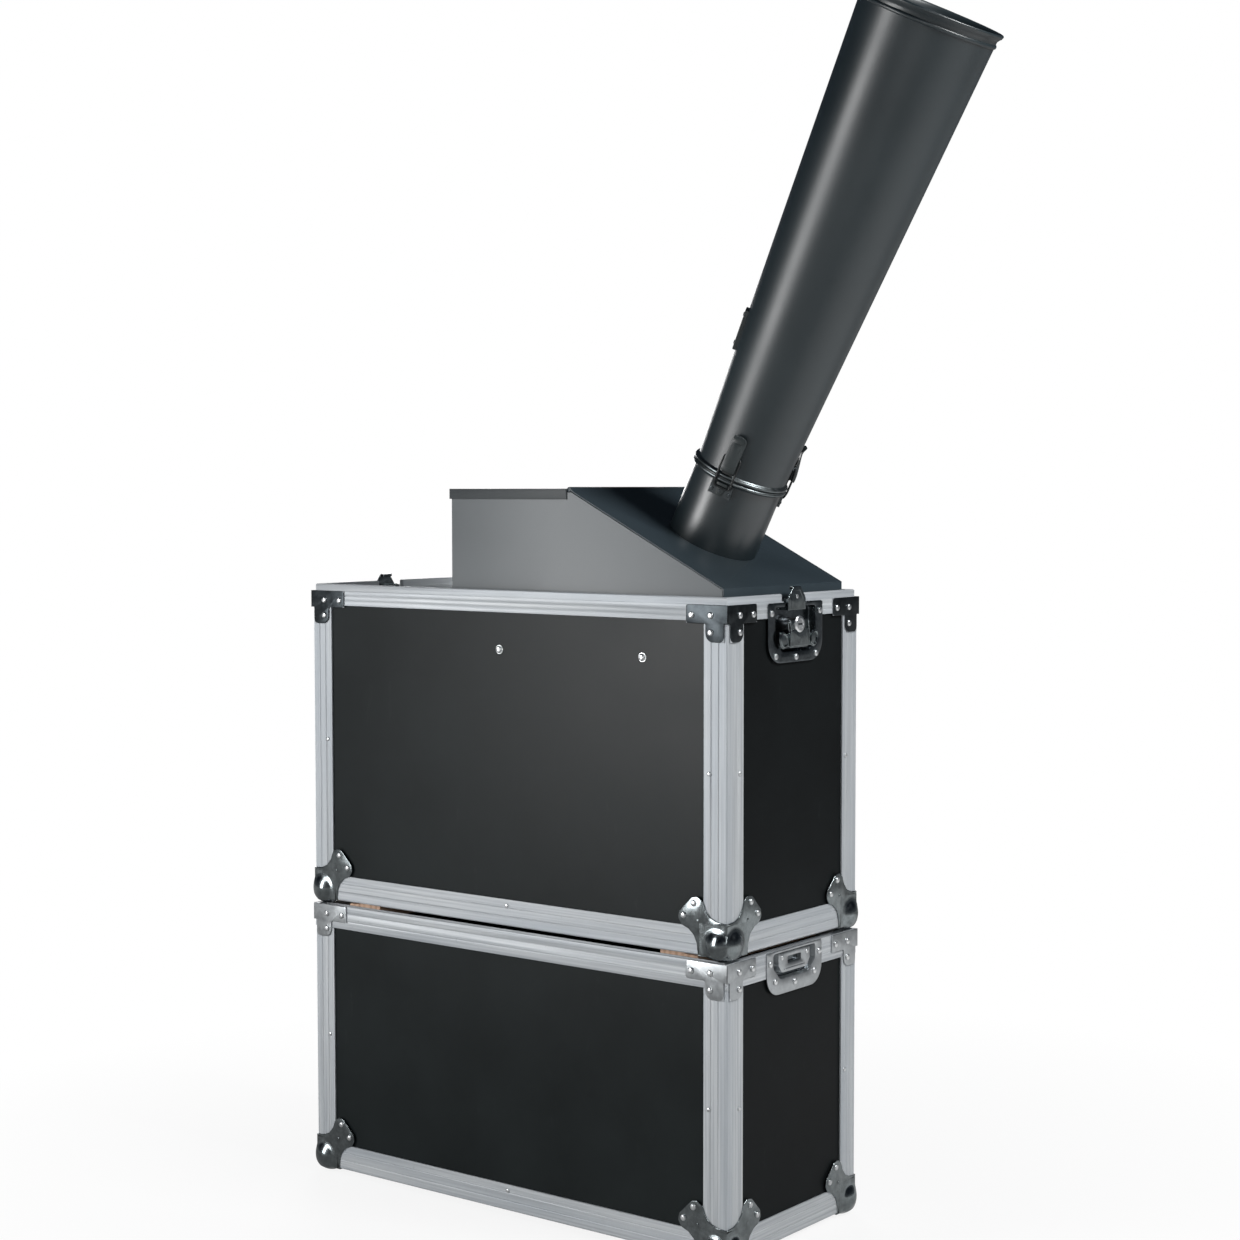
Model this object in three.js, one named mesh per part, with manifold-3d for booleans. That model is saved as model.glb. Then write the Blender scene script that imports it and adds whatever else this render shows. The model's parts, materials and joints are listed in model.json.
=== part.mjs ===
// Confetti blower in a flight case, standing on the case's own tall lid, in millimetres.
// +X runs along the case towards the outlet, the front is -Y and the floor is Z = 0.

import * as THREE from 'three';
import { mergeVertices } from 'three/addons/utils/BufferGeometryUtils.js';
import Module from 'manifold-3d';

const wasm = await Module();
wasm.setup();

// Fits
const seatGap = 0.3;
const overrun = 2;

// Flight case
const caseLength = 606;
const caseDepth = 254;
const standHeight = 320;
const baseHeight = 379;
const panelThickness = 7;

// Aluminium edge profiles
const profileWidth = 30;
const profileThickness = 1.8;
const profileEdgeRadius = 1.5;
const grooveDepth = 0.5;
const grooveWidth = 1.6;
const grooveCount = 2;
const innerLegThickness = 1.5;
const innerLegHeight = 18;
const standRimHeight = 27.5;
const baseRimHeight = 17;
const tongueHeight = 8;
const tongueInset = 2.4;
const tongueWidth = 6;
const tongueChamfer = 1;
const webThickness = 1.5;

// Rivets and dome bolts
const rivetRadius = 3.4;
const rivetHeight = 1.7;
const rivetRoot = 0.4;
const smallRivetRadius = 2.2;
const smallRivetHeight = 1;
const rivetEdgeDistance = 23;
const boltRadius = 4;
const boltHeight = 2.2;
const boltDrop = 67;
const boltPlaces = [-11, 190.5];

// Ball corners
const ballRadius = 19.5;
const ballSeatRadius = 17.3;
const edgeStart = 33;
const floorChamfer = 8;
const ballInset = 12.5;
const ballStandoff = 6;
const ballShell = 1.5;
const cornerPlate = 1.2;
const cornerHalfOutline = [
  [37, 0], [38, 12], [41.7, 20.7], [49, 27], [58, 30.5], [62.5, 37.5], [61, 45],
];
const cornerRivetNear = 42;
const cornerRivetFar = 55;
const cornerSpan = 62.5;

// Rim brackets
const bracketLength = 52;
const bracketBand = 19.5;
const bracketLegWidth = 27;
const bracketHeight = 39;
const bracketChamfer = 9;
const bracketEdge = 3.5;
const bracketRivetNear = 20.4;
const bracketRivetFar = 45;
const bracketRivetDrop = 11;
const bracketRivetLow = 29;

// Recessed dishes
const dishPlate = 1.2;
const dishWall = 1.5;
const dishRecess = 7.4;
const dishCornerWidth = 23;
const dishCornerHeight = 22;
const panCorner = 13;
const latchDishWidth = 106;
const latchDishTop = 9;
const latchDishBottom = 74;
const latchPanWidth = 78;
const latchPanTop = 14;
const latchPanBottom = 62;
const latchSlotWidth = 40;
const latchRivets = [[-47, -20], [47, -20], [-39.5, -66.5], [0, -68.5], [39.5, -66.5]];
const keeperDishWidth = 108;
const keeperDishBottom = 48;
const keeperPanWidth = 82;
const keeperPanTop = 3;
const keeperPanBottom = 31;
const keeperRivets = [[-48, -12.4], [48, -12.4], [-38.5, -33], [0, -38.5], [38.5, -33]];
const keeperBoxWidth = 62;
const keeperBoxBottom = 25;
const keeperSlotWidth = 26;
const keeperSlotHeight = 7.5;
const keeperSlotDrop = 12.4;
const keeperSlotDepth = 5.5;

// Butterfly latch, the wing's half outline measured from its turning axis
const wingHalfOutline = [
  [0, 5], [19, 5], [21, 2], [21, -4], [17, -9], [24, -10], [31, -6], [36, -8],
  [38, -15], [35, -23], [30, -26], [22, -23], [17, -24], [0, -25],
];
const wingThickness = 1.8;
const wingProud = 3.6;
const wingDrop = 33;
const wingGripWidth = 26;
const wingGripTop = 8;
const wingGripBottom = 22;
const wingGripHeight = 1.2;
const hubRadius = 7;
const hookWidth = 34;
const hookTopWidth = 15;
const hookShoulder = 5;
const hookPlate = 1.2;
const hookRise = 7.8;
const hookCurl = 6;
const hookStroke = 8;
const hookRivetDrop = 3;
const hookRivetHeight = 0.6;

// Wooden runners under the base
const runnerWidth = 50;
const runnerInset = 46;
const runnerDepth = 18;
const runnerRelief = 3.8;

// Machine housing
const sheet = 1.8;
const housingInset = 12;
const machineLength = 380.3;
const hopperLength = 175.5;
const ridgeHeight = 490.4;
const slopeAngle = THREE.MathUtils.degToRad(26.6);
const coverClearance = 2.1;
const coverLip = 40;
const ventSlots = 6;
const ventLength = 60;
const ventWidth = 6;
const ventPitch = 14;
const ventHeight = 120;
const bulkheadDrop = 60.4;

// Hopper lid and its hinge
const lidSheet = 1.5;
const lidLip = 11.5;
const lidOverhang = 1.9;
const knuckleRadius = 2.9;
const hingePinRadius = 1.3;
const lidKnuckleShare = 0.5;
const hingeRise = 0.9;
const hingeSetback = 3.2;

// Outlet stub and barrel, along their common axis
const stubAlongSlope = 122;
const tubeRadius = 50.4;
const tubeWall = 1.6;
const stubLength = 83;
const stubSpigot = 20;
const stubRoot = 12;
const stubRingHeight = 3;
const barrelRingHeight = 4.5;
const barrelRingStraight = 2.7;
const ringProud = 3.4;
const barrelLength = 530;
const barrelMouthRadius = 75.3;
const mouthFlare = 3.4;
const mouthFlareHeight = 5;
const mouthBeadDrop = 14;
const mouthBeadHeight = 5;
const mouthBeadProud = 1.4;
const stopPlateLength = 46;
const stopPlateWidth = 16;
const stopPlateThickness = 3.2;
const stopPlateHeight = 148;
const stopPlateAzimuth = THREE.MathUtils.degToRad(-147);

// Toggle clasps. Outlines are pairs of distance outwards from a pin and distance along the barrel.
const claspAzimuths = [-72.5, 47.5, 167.5].map(THREE.MathUtils.degToRad);
const claspPivotHeight = 12.5;
const claspPivotProud = 4.9;
const claspPinRadius = 1.2;
const claspBaseTop = 22.2;
const claspBaseWidth = 12.6;
const claspBaseThickness = 1.2;
const earThickness = 1.3;
const earOutline = [
  [-3.7, -2.4], [-2.4, -2.4], [-1.2, -1.6], [0, -2], [1.4, -1.4], [2, 0], [1.4, 1.4], [0, 2],
  [-2.2, 3.4], [-3.7, 3.5],
];
const leverWidth = 16.5;
const leverWall = 1.25;
const leverPlateOutline = [
  [2.4, -3.2], [3.6, -3.2], [3.6, 5], [-0.7, 31], [3.4, 36.6], [2.4, 37.5], [-2, 31.6], [2.4, 4.5],
];
const leverCheekOutline = [
  [-1.7, -3.2], [3, -3.2], [3, 4.8], [0.2, 21], [-2.4, 20.5], [-3, 16], [-3, 7],
];
const bailPinAlong = 12;
const bailPinDrop = 1.4;
const bailWire = 1.2;
const bailPath = [[0, 0], [1.1, -14], [1.1, -28], [-0.3, -35]];
const catchWidth = 26;
const catchHeight = 15;
const catchThickness = 1.6;
const catchHookWidth = 12;
const catchHookProud = 4.1;
const catchHookHeight = 2.4;
const catchScrewSpacing = 20;
const catchScrewRadius = 2.2;
const catchScrewHeight = 1.1;
const catchScrewRise = 5;
const bailSlack = 1.2;

// Hopper funnel and feed
const funnelSheet = 1.5;
const funnelRimDrop = 4.4;
const funnelRimHeight = 12;
const funnelHeight = 146;
const spoutSetback = 9.2;
const spoutLength = 30;
const spoutDepth = 52;

// Agitator and its gearmotor
const agitatorSetback = 29.2;
const agitatorRise = 35;
const agitatorShaftRadius = 4;
const agitatorPaddleRadius = 17;
const agitatorPaddleLength = 64;
const agitatorPaddleThickness = 2.4;
const agitatorPaddles = 4;
const gearmotorWidth = 42;
const gearmotorHeight = 34;
const gearmotorBoss = 8;
const gearmotorBossLength = 6;
const shaftPocket = 12;

// Fan
const ductStart = 8;
const ductFlange = 104;
const ductFlangeThickness = 3;
const fanCentreAcross = 42;
const fanCentreHeight = 114;
const scrollNeckHeight = 89;
const scrollWidth = 88;
const scrollWall = 2;
const scrollTongueRadius = 66;
const scrollTongueAngle = THREE.MathUtils.degToRad(90);
const scrollSteps = 18;
const fanInletRadius = 40;
const impellerRadius = 60;
const impellerInnerRadius = 44;
const impellerWidth = 62;
const impellerDisc = 2;
const impellerBlades = 12;
const bladeThickness = 1.6;
const bladeSweep = THREE.MathUtils.degToRad(20);
const impellerHubRadius = 12;
const fanShaftRadius = 5;
const fanShaftPocket = 16;
const motorRadius = 40;
const motorLength = 58;
const motorFlangeRadius = 46;
const motorFlangeThickness = 4;
const motorFins = 3;
const motorFinDepth = 2.5;
const footWidth = 24;

// Mains inlet and switch on the housing's left wall
const inletWidth = 30;
const inletHeight = 62;
const inletPlate = 2.2;
const inletBodyDepth = 24;
const inletBorder = 3.5;
const inletCentreY = -62;
const inletDrop = 85.4;
const socketHeight = 26;
const socketDepth = 15;
const pinSize = [4, 2, 11];
const pinSpacing = 7;
const pinOffset = 3.4;
const rockerHeight = 22;
const rockerDepth = 7;
const rockerTilt = THREE.MathUtils.degToRad(8);
const rockerClearance = 1.2;

// Facets round turned pieces
const tubeFacets = 32;
const ballFacets = [12, 8];
const rivetFacets = 6;
const turnedFacets = 20;
const smallFacets = 10;
const pinFacets = 8;
const discFacets = 12;
const curveFacets = 5;
const rodFacets = 16;

// Vertices closer than this are one
const weld = 1e-4;

// Wall build-up of the case, as insets from its outer faces
const panelOuter = profileThickness + seatGap;
const panelInner = panelOuter + panelThickness;
const innerLegOuter = panelInner + seatGap;
const wallDepth = innerLegOuter + innerLegThickness;

// Levels
const stackGap = ballStandoff + seatGap;
const standBottom = ballStandoff;
const baseBottom = standBottom + standHeight + stackGap;

// Housing and slope, in the base case's own frame
const housingFront = caseDepth / 2 - housingInset;
const housingFloor = panelInner + seatGap;
const slopeEndX = caseLength / 2 - wallDepth - coverClearance;
const housingLeft = slopeEndX - machineLength;
const ridgeX = housingLeft + hopperLength;
const housingRight = slopeEndX - sheet - seatGap;
const slopeDrop = (x) => ridgeHeight - (x - ridgeX) * Math.tan(slopeAngle);
const hingeX = ridgeX - hingeSetback;
const hingeZ = ridgeHeight + hingeRise;
const lidTop = ridgeHeight + seatGap + lidSheet;
const stubX = ridgeX + stubAlongSlope * Math.cos(slopeAngle);
const stubZ = slopeDrop(stubX);

// Places inside the housing: the feed hangs from the ridge, and the fan stands on the floor
const bulkheadBottom = ridgeHeight - bulkheadDrop;
const funnelTop = ridgeHeight - funnelRimDrop;
const funnelShoulder = funnelTop - funnelRimHeight;
const funnelNeck = funnelTop - funnelHeight;
const spoutRight = ridgeX - spoutSetback;
const agitatorX = ridgeX - agitatorSetback;
const agitatorHeight = funnelNeck + agitatorRise;
const inletCentreZ = ridgeHeight - inletDrop;
const fanCentreAlong =
  (stubZ - fanCentreHeight - fanCentreAcross * Math.sin(slopeAngle)) / Math.cos(slopeAngle);
const ductEnd = fanCentreAlong - scrollNeckHeight;

// Materials
const finish = (color, roughness, metalness) =>
  new THREE.MeshStandardMaterial({ color, roughness, metalness });
const aluminium = finish(0xc4c8cb, 0.38, 1);
const laminate = finish(0x212527, 0.55, 0);
const cornerSteel = finish(0x8b9292, 0.22, 1);
const housingPaint = finish(0x45494b, 0.5, 0.1);
const barrelPaint = finish(0x2f3538, 0.42, 0.15);
const claspSteel = finish(0x2a2e30, 0.4, 0.6);
const timber = finish(0xb98d6a, 0.7, 0);
const galvanised = finish(0x9aa0a2, 0.45, 0.9);
const castAluminium = finish(0x8c9092, 0.5, 0.8);
const blackPlastic = finish(0x16181a, 0.5, 0);

// Booleans
function solidOf(geometry) {
  const bare = geometry.clone();
  bare.deleteAttribute('normal');
  bare.deleteAttribute('uv');
  const merged = mergeVertices(bare, weld);
  const triVerts = new Uint32Array(merged.index.array);
  if (signedVolume(merged) < 0) {
    for (let i = 0; i < triVerts.length; i += 3) {
      const second = triVerts[i + 1];
      triVerts[i + 1] = triVerts[i + 2];
      triVerts[i + 2] = second;
    }
  }
  const vertProperties = merged.attributes.position.array;
  return new wasm.Manifold(new wasm.Mesh({ numProp: 3, vertProperties, triVerts }));
}

function signedVolume(geometry) {
  const corners = [new THREE.Vector3(), new THREE.Vector3(), new THREE.Vector3()];
  const place = geometry.attributes.position;
  let sum = 0;
  for (let i = 0; i < geometry.index.count; i += 3) {
    corners.forEach((corner, k) => corner.fromBufferAttribute(place, geometry.index.getX(i + k)));
    sum += corners[0].dot(corners[1].clone().cross(corners[2])) / 6;
  }
  return sum;
}

function geometryOf(solid) {
  const mesh = solid.getMesh();
  const geometry = new THREE.BufferGeometry();
  geometry.setAttribute('position', new THREE.BufferAttribute(mesh.vertProperties, 3));
  geometry.setIndex(new THREE.BufferAttribute(mesh.triVerts, 1));
  return geometry;
}

const combine = (first, others, step) =>
  geometryOf(others.reduce((sum, each) => step(sum, solidOf(each)), solidOf(first)));
const join = (first, ...others) => combine(first, others, (a, b) => a.add(b));
const cut = (first, ...others) => combine(first, others, (a, b) => a.subtract(b));
const common = (first, ...others) => combine(first, others, (a, b) => a.intersect(b));

// Shapes
const block = ([x0, x1], [y0, y1], [z0, z1]) =>
  new THREE.BoxGeometry(x1 - x0, y1 - y0, z1 - z0)
    .translate((x0 + x1) / 2, (y0 + y1) / 2, (z0 + z1) / 2);

const outline = (points) => new THREE.Shape(points.map(([a, b]) => new THREE.Vector2(a, b)));

// A flat outline in X and Y, raised from one height to another.
function upright(shape, [z0, z1], curveSegments = curveFacets) {
  const options = { depth: z1 - z0, bevelEnabled: false, curveSegments };
  return new THREE.ExtrudeGeometry(shape, options).translate(0, 0, z0);
}

// The same for an outline in X and Z, thickened along Y.
const facing = (shape, [y0, y1], curveSegments) =>
  upright(shape, [0, y1 - y0], curveSegments).rotateX(Math.PI / 2).translate(0, y1, 0);

// A profile of radius and height pairs, turned about Z.
const turned = (profile, segments) =>
  new THREE.LatheGeometry(profile.map(([r, z]) => new THREE.Vector2(r, z)), segments)
    .rotateX(Math.PI / 2);

const rod = (radius, [z0, z1], segments = rodFacets) =>
  turned([[0, z0], [radius, z0], [radius, z1], [0, z1]], segments);

const alongY = (geometry) => geometry.rotateX(-Math.PI / 2);

// A flipped shape keeps its faces outwards by going through a solid.
const mirrored = (geometry, x, y) => geometryOf(solidOf(geometry.clone().scale(x, y, 1)));

// Swaps X and Y, which carries a piece of the front face over to the side face.
function swapped(geometry) {
  const swap = new THREE.Matrix4().makeBasis(
    new THREE.Vector3(0, 1, 0), new THREE.Vector3(1, 0, 0), new THREE.Vector3(0, 0, 1));
  return geometryOf(solidOf(geometry.clone().applyMatrix4(swap)));
}

// A closed frame: a profile of [inset, height] pairs carried round a rectangle with mitred corners.
function rectangularFrame(profile, length, depth) {
  const corners = [[-1, -1], [1, -1], [1, 1], [-1, 1]];
  const positions = corners.flatMap(([x, y]) => profile.flatMap(([inset, height]) =>
    [x * (length / 2 - inset), y * (depth / 2 - inset), height]));
  const index = [];
  const count = profile.length;
  corners.forEach((corner, c) => profile.forEach((point, i) => {
    const next = (i + 1) % count;
    const here = c * count;
    const there = ((c + 1) % corners.length) * count;
    index.push(here + i, there + i, there + next, here + i, there + next, here + next);
  }));
  const geometry = new THREE.BufferGeometry();
  geometry.setAttribute('position', new THREE.Float32BufferAttribute(positions, 3));
  geometry.setIndex(index);
  return geometry;
}

// A low head that points along +Z, with its root sunk in what it fastens.
function dome(radius, height, root = rivetRoot) {
  const crown = radius * Math.SQRT1_2;
  return turned([[0, -root], [radius, -root], [crown, height], [0, height]], rivetFacets);
}

const domeOnFront = (radius, height, x, z, y, root) =>
  dome(radius, height, root).rotateX(Math.PI / 2).translate(x, y, z);

// Carries a piece built against the front face, with Y as its depth, to an end of the case.
const ontoRightEnd = (geometry) =>
  geometry.clone().rotateZ(Math.PI / 2).translate(caseLength / 2, 0, 0);
const ontoLeftEnd = (geometry) =>
  geometry.clone().rotateZ(-Math.PI / 2).translate(-caseLength / 2, 0, 0);

const quarters = [
  ['front_left', 1, 1], ['front_right', -1, 1], ['back_left', 1, -1], ['back_right', -1, -1],
];

// Moves a piece built in the front left corner, which has its corner at the origin, to a quarter.
const toQuarter = (geometry, x, y) =>
  mirrored(geometry.clone().translate(-caseLength / 2, -caseDepth / 2, 0), x, y);

function named(name, geometry, material) {
  const flat = geometry.index ? geometry.toNonIndexed() : geometry;
  flat.computeVertexNormals();
  const mesh = new THREE.Mesh(flat, material);
  mesh.name = name;
  return mesh;
}

// Edge profiles

// Points along a straight face of a profile, with shallow grooves pressed in towards `inwards`.
function grooved([a0, b0], [a1, b1], [inA, inB]) {
  const length = Math.hypot(a1 - a0, b1 - b0);
  const at = (distance, depth) => [
    a0 + ((a1 - a0) * distance) / length + inA * depth,
    b0 + ((b1 - b0) * distance) / length + inB * depth,
  ];
  const points = [];
  for (let i = 1; i <= grooveCount; i += 1) {
    const middle = (length * i) / (grooveCount + 1);
    points.push(
      at(middle - grooveWidth / 2, 0), at(middle, grooveDepth), at(middle + grooveWidth / 2, 0));
  }
  return points;
}

const standRimProfile = () => [
  [0, -standRimHeight], ...grooved([0, -standRimHeight], [0, 0], [1, 0]),
  [0, 0], [profileThickness, 0],
  [profileThickness, -tongueHeight - seatGap], [innerLegOuter, -tongueHeight - seatGap],
  [innerLegOuter, 0], [wallDepth, 0],
  [wallDepth, -innerLegHeight], [innerLegOuter, -innerLegHeight],
  [innerLegOuter, -tongueHeight - seatGap - webThickness],
  [profileThickness, -tongueHeight - seatGap - webThickness],
  [profileThickness, -standRimHeight],
];

const baseRimProfile = () => {
  const legBottom = -tongueHeight - baseRimHeight;
  const tongueInner = tongueInset + tongueWidth;
  return [
    [0, legBottom], ...grooved([0, legBottom], [0, -tongueHeight], [1, 0]),
    [0, -tongueHeight], [tongueInset, -tongueHeight],
    [tongueInset, -tongueChamfer], [tongueInset + tongueChamfer, 0],
    [tongueInner - tongueChamfer, 0], [tongueInner, -tongueChamfer],
    [tongueInner, -tongueHeight], [wallDepth, -tongueHeight],
    [wallDepth, -innerLegHeight], [innerLegOuter, -innerLegHeight],
    [innerLegOuter, -tongueHeight - webThickness],
    [profileThickness, -tongueHeight - webThickness],
    [profileThickness, legBottom],
  ];
};

const floorFrameProfile = () => [
  [profileEdgeRadius, 0], ...grooved([profileEdgeRadius, 0], [profileWidth, 0], [0, 1]),
  [profileWidth, 0], [profileWidth, profileThickness],
  [profileThickness, profileThickness], [profileThickness, profileWidth],
  [0, profileWidth], ...grooved([0, profileWidth], [0, profileEdgeRadius], [1, 0]),
  [0, profileEdgeRadius],
];

function edgeAngle(bottom, top) {
  const shape = outline([
    [profileEdgeRadius, 0], ...grooved([profileEdgeRadius, 0], [profileWidth, 0], [0, 1]),
    [profileWidth, 0], [profileWidth, profileThickness],
    [profileThickness, profileThickness], [profileThickness, profileWidth],
    [0, profileWidth], ...grooved([0, profileWidth], [0, profileEdgeRadius], [1, 0]),
    [0, profileEdgeRadius],
  ]);
  const middle = (bottom + top) / 2;
  const rivet = domeOnFront(smallRivetRadius, smallRivetHeight, rivetEdgeDistance, middle, 0);
  return join(upright(shape, [bottom, top]), rivet, swapped(rivet));
}

// Ball corner, for the front left corner of a case bottom

const ball = (radius) =>
  new THREE.SphereGeometry(radius, ...ballFacets).translate(ballInset, ballInset, ballInset);

// What the frame round the case bottom gives up to the ball: a disc from each leg, and the edge.
function cornerSeat() {
  const disc = rod(ballSeatRadius, [-overrun, profileThickness + seatGap], discFacets)
    .translate(ballInset, ballInset, 0);
  const edge = block([-overrun, ballInset], [-overrun, ballInset], [-overrun, profileWidth + overrun]);
  return join(disc, turnedOnce(disc), turnedOnce(turnedOnce(disc)), edge);
}

// Carries a piece from the bottom face round the corner's diagonal to the next face.
function turnedOnce(geometry) {
  const turn = new THREE.Matrix4().makeBasis(
    new THREE.Vector3(0, 1, 0), new THREE.Vector3(0, 0, 1), new THREE.Vector3(1, 0, 0));
  return geometry.clone().applyMatrix4(turn);
}

function cornerWing() {
  const outer = -seatGap - cornerPlate;
  const [[foot], ...rest] = cornerHalfOutline;
  const half = [[foot, outer], [foot, 0], ...rest];
  const others = half.slice().reverse().map(([x, z]) => [z, x]);
  const notch = [[outer, ballInset], [ballInset, ballInset], [ballInset, outer]];
  const plate = facing(outline([...notch, ...half, ...others]), [outer, -seatGap]);
  const rivets = [[cornerRivetNear, cornerRivetFar], [cornerRivetFar, cornerRivetNear]]
    .map(([x, z]) => domeOnFront(rivetRadius, rivetHeight, x, z, outer));
  return { plate, rivets };
}

function ballCorner() {
  const { plate, rivets } = cornerWing();
  const wing = join(plate, ...rivets);
  const side = turnedOnce(turnedOnce(wing));
  const inside = [profileThickness, ballInset + ballRadius];
  const octant = [0, ballInset];
  const shell = cut(block(octant, octant, octant), ball(ballRadius - ballShell));
  const hollow = cut(block(inside, inside, inside), shell);
  const reach = [-ballRadius, cornerSpan];
  const below = block(reach, reach, [-ballRadius, -ballStandoff]);
  return cut(join(ball(ballRadius), wing, side, turnedOnce(plate)), hollow, below);
}

// Rim bracket, for the front left corner of a rim whose top is at Z = 0

function rimBracket(top, frameBottom) {
  const outer = -seatGap - cornerPlate;
  const shape = outline([
    [outer, top], [bracketLength, top], [bracketLength, top - bracketBand],
    [bracketLegWidth, top - bracketBand], [bracketLegWidth, top - bracketHeight + bracketChamfer],
    [bracketLegWidth - bracketChamfer, top - bracketHeight], [bracketEdge, top - bracketHeight],
    [bracketEdge, top - bracketBand], [outer, top - bracketBand],
  ]);
  const band = Math.max(top - bracketBand, frameBottom);
  const packing = block(
    [seatGap, bracketLength], [outer / 2, profileThickness / 2], [band, top - profileEdgeRadius]);
  const rivets = [
    [bracketRivetNear, bracketRivetDrop], [bracketRivetFar, bracketRivetDrop],
    [bracketRivetNear, bracketRivetLow],
  ].map(([x, drop]) => domeOnFront(rivetRadius, rivetHeight, x, top - drop, outer));
  const face = join(facing(shape, [outer, -seatGap]), packing, ...rivets);
  return join(face, swapped(face));
}

// Recessed dishes, built against the front face with the rim top at Z = 0

function dishOutline(width, top, bottom) {
  const half = width / 2;
  const shape = new THREE.Shape();
  shape.moveTo(-half, -top);
  shape.lineTo(-half, -bottom + dishCornerHeight);
  shape.quadraticCurveTo(-half, -bottom, -half + dishCornerWidth, -bottom);
  shape.lineTo(half - dishCornerWidth, -bottom);
  shape.quadraticCurveTo(half, -bottom, half, -bottom + dishCornerHeight);
  shape.lineTo(half, -top);
  return shape;
}

// A pan's outline with its lower corners cut off, grown all round by a wall.
function panOutline({ width, top, bottom }, grown) {
  const half = width / 2 + grown;
  const low = -bottom - grown;
  return outline([
    [-half, grown - top], [-half, low + panCorner], [panCorner - half, low],
    [half - panCorner, low], [half, low + panCorner], [half, grown - top],
  ]);
}

const panOuter = (pan, slack) => facing(
  panOutline(pan, dishWall + slack), [-seatGap - dishPlate, dishRecess + dishWall + slack]);

function dish(width, top, bottom, pan, frameBottom, rivetPlaces) {
  const outer = -seatGap - dishPlate;
  const shape = dishOutline(width, top, bottom);
  const plate = facing(shape, [outer, -seatGap]);
  const depth = [outer, profileThickness];
  const past = block([-width, width], depth, [-bottom - overrun, frameBottom - seatGap]);
  const foot = common(facing(shape, depth), past);
  const rivets = rivetPlaces.map(([x, z]) => domeOnFront(rivetRadius, rivetHeight, x, z, outer));
  const cavity = facing(panOutline(pan, 0), [outer - overrun, dishRecess]);
  return cut(join(plate, foot, panOuter(pan, 0), ...rivets), cavity);
}

const latchPan = { width: latchPanWidth, top: latchPanTop, bottom: latchPanBottom };
const keeperPan = { width: keeperPanWidth, top: keeperPanTop, bottom: keeperPanBottom };

function latchDish() {
  const frameBottom = -tongueHeight - baseRimHeight;
  const body = dish(
    latchDishWidth, latchDishTop, latchDishBottom, latchPan, frameBottom, latchRivets);
  const half = latchSlotWidth / 2;
  const outer = -seatGap - dishPlate;
  const channel = block(
    [-half - dishWall, half + dishWall], [outer, dishRecess + dishWall],
    [-latchPanTop, -latchDishTop]);
  const slot = block(
    [-half, half], [outer - overrun, dishRecess],
    [-latchPanTop - overrun, -latchDishTop + overrun]);
  return cut(join(body, channel), slot);
}

function keeperDish() {
  const body = dish(
    keeperDishWidth, 0, keeperDishBottom, keeperPan, -standRimHeight, keeperRivets);
  const half = keeperBoxWidth / 2;
  const box = block(
    [-half, half], [-seatGap, dishRecess + dishWall / 2], [-keeperBoxBottom, -keeperPanTop + dishWall / 2]);
  const slot = block(
    [-keeperSlotWidth / 2, keeperSlotWidth / 2], [-overrun, keeperSlotDepth],
    [-keeperSlotDrop - keeperSlotHeight / 2, -keeperSlotDrop + keeperSlotHeight / 2]);
  return cut(join(body, box), slot);
}

// What the dishes need cut out of the rim frame and the end panels.
const rimNotches = {
  base: () => {
    const half = latchSlotWidth / 2 + dishWall + seatGap;
    const throat = block(
      [-half, half], [-overrun, dishRecess + dishWall + seatGap], [-latchPanTop, overrun]);
    return join(panOuter(latchPan, seatGap), throat);
  },
  stand: () => panOuter(keeperPan, seatGap),
};

// Latch hook, and the wing with its turning axis at the origin

function latchHook() {
  const half = hookWidth / 2;
  const topHalf = hookTopWidth / 2;
  const back = dishRecess - seatGap;
  const face = -seatGap - dishPlate - seatGap;
  const front = face - hookPlate;
  const bottom = -wingDrop + hubRadius + hookStroke + seatGap;
  const plate = facing(outline([
    [-half, bottom], [half, bottom], [half, -hookShoulder], [topHalf, hookRise],
    [-topHalf, hookRise], [-half, -hookShoulder],
  ]), [front, face]);
  const sides = [-half, half - hookPlate]
    .map((x) => block([x, x + hookPlate], [front, back], [bottom, -hookShoulder]));
  const web = block([-half, half], [back - hookPlate, back], [bottom, -hookShoulder]);
  const curl = block([-topHalf, topHalf], [front, front + hookCurl], [hookRise - hookPlate, hookRise]);
  const rivet = domeOnFront(smallRivetRadius, hookRivetHeight, 0, -hookRivetDrop, front);
  return join(plate, ...sides, web, curl, rivet);
}

function latchWing() {
  const [first, ...rest] = wingHalfOutline;
  const others = rest.slice(0, -1).reverse().map(([x, z]) => [-x, z]);
  const front = -seatGap - wingProud;
  const handle = facing(outline([first, ...rest, ...others]), [front - wingThickness, front]);
  const hub = rod(hubRadius, [front - overrun / 2, dishRecess - seatGap], smallFacets)
    .rotateX(-Math.PI / 2);
  const grip = block(
    [-wingGripWidth / 2, wingGripWidth / 2], [front - wingThickness - wingGripHeight, front],
    [-wingGripBottom, -wingGripTop]);
  return join(handle, hub, grip);
}

// One flight case: panels, rim frame, floor frame, edge angles and ball corners

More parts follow.
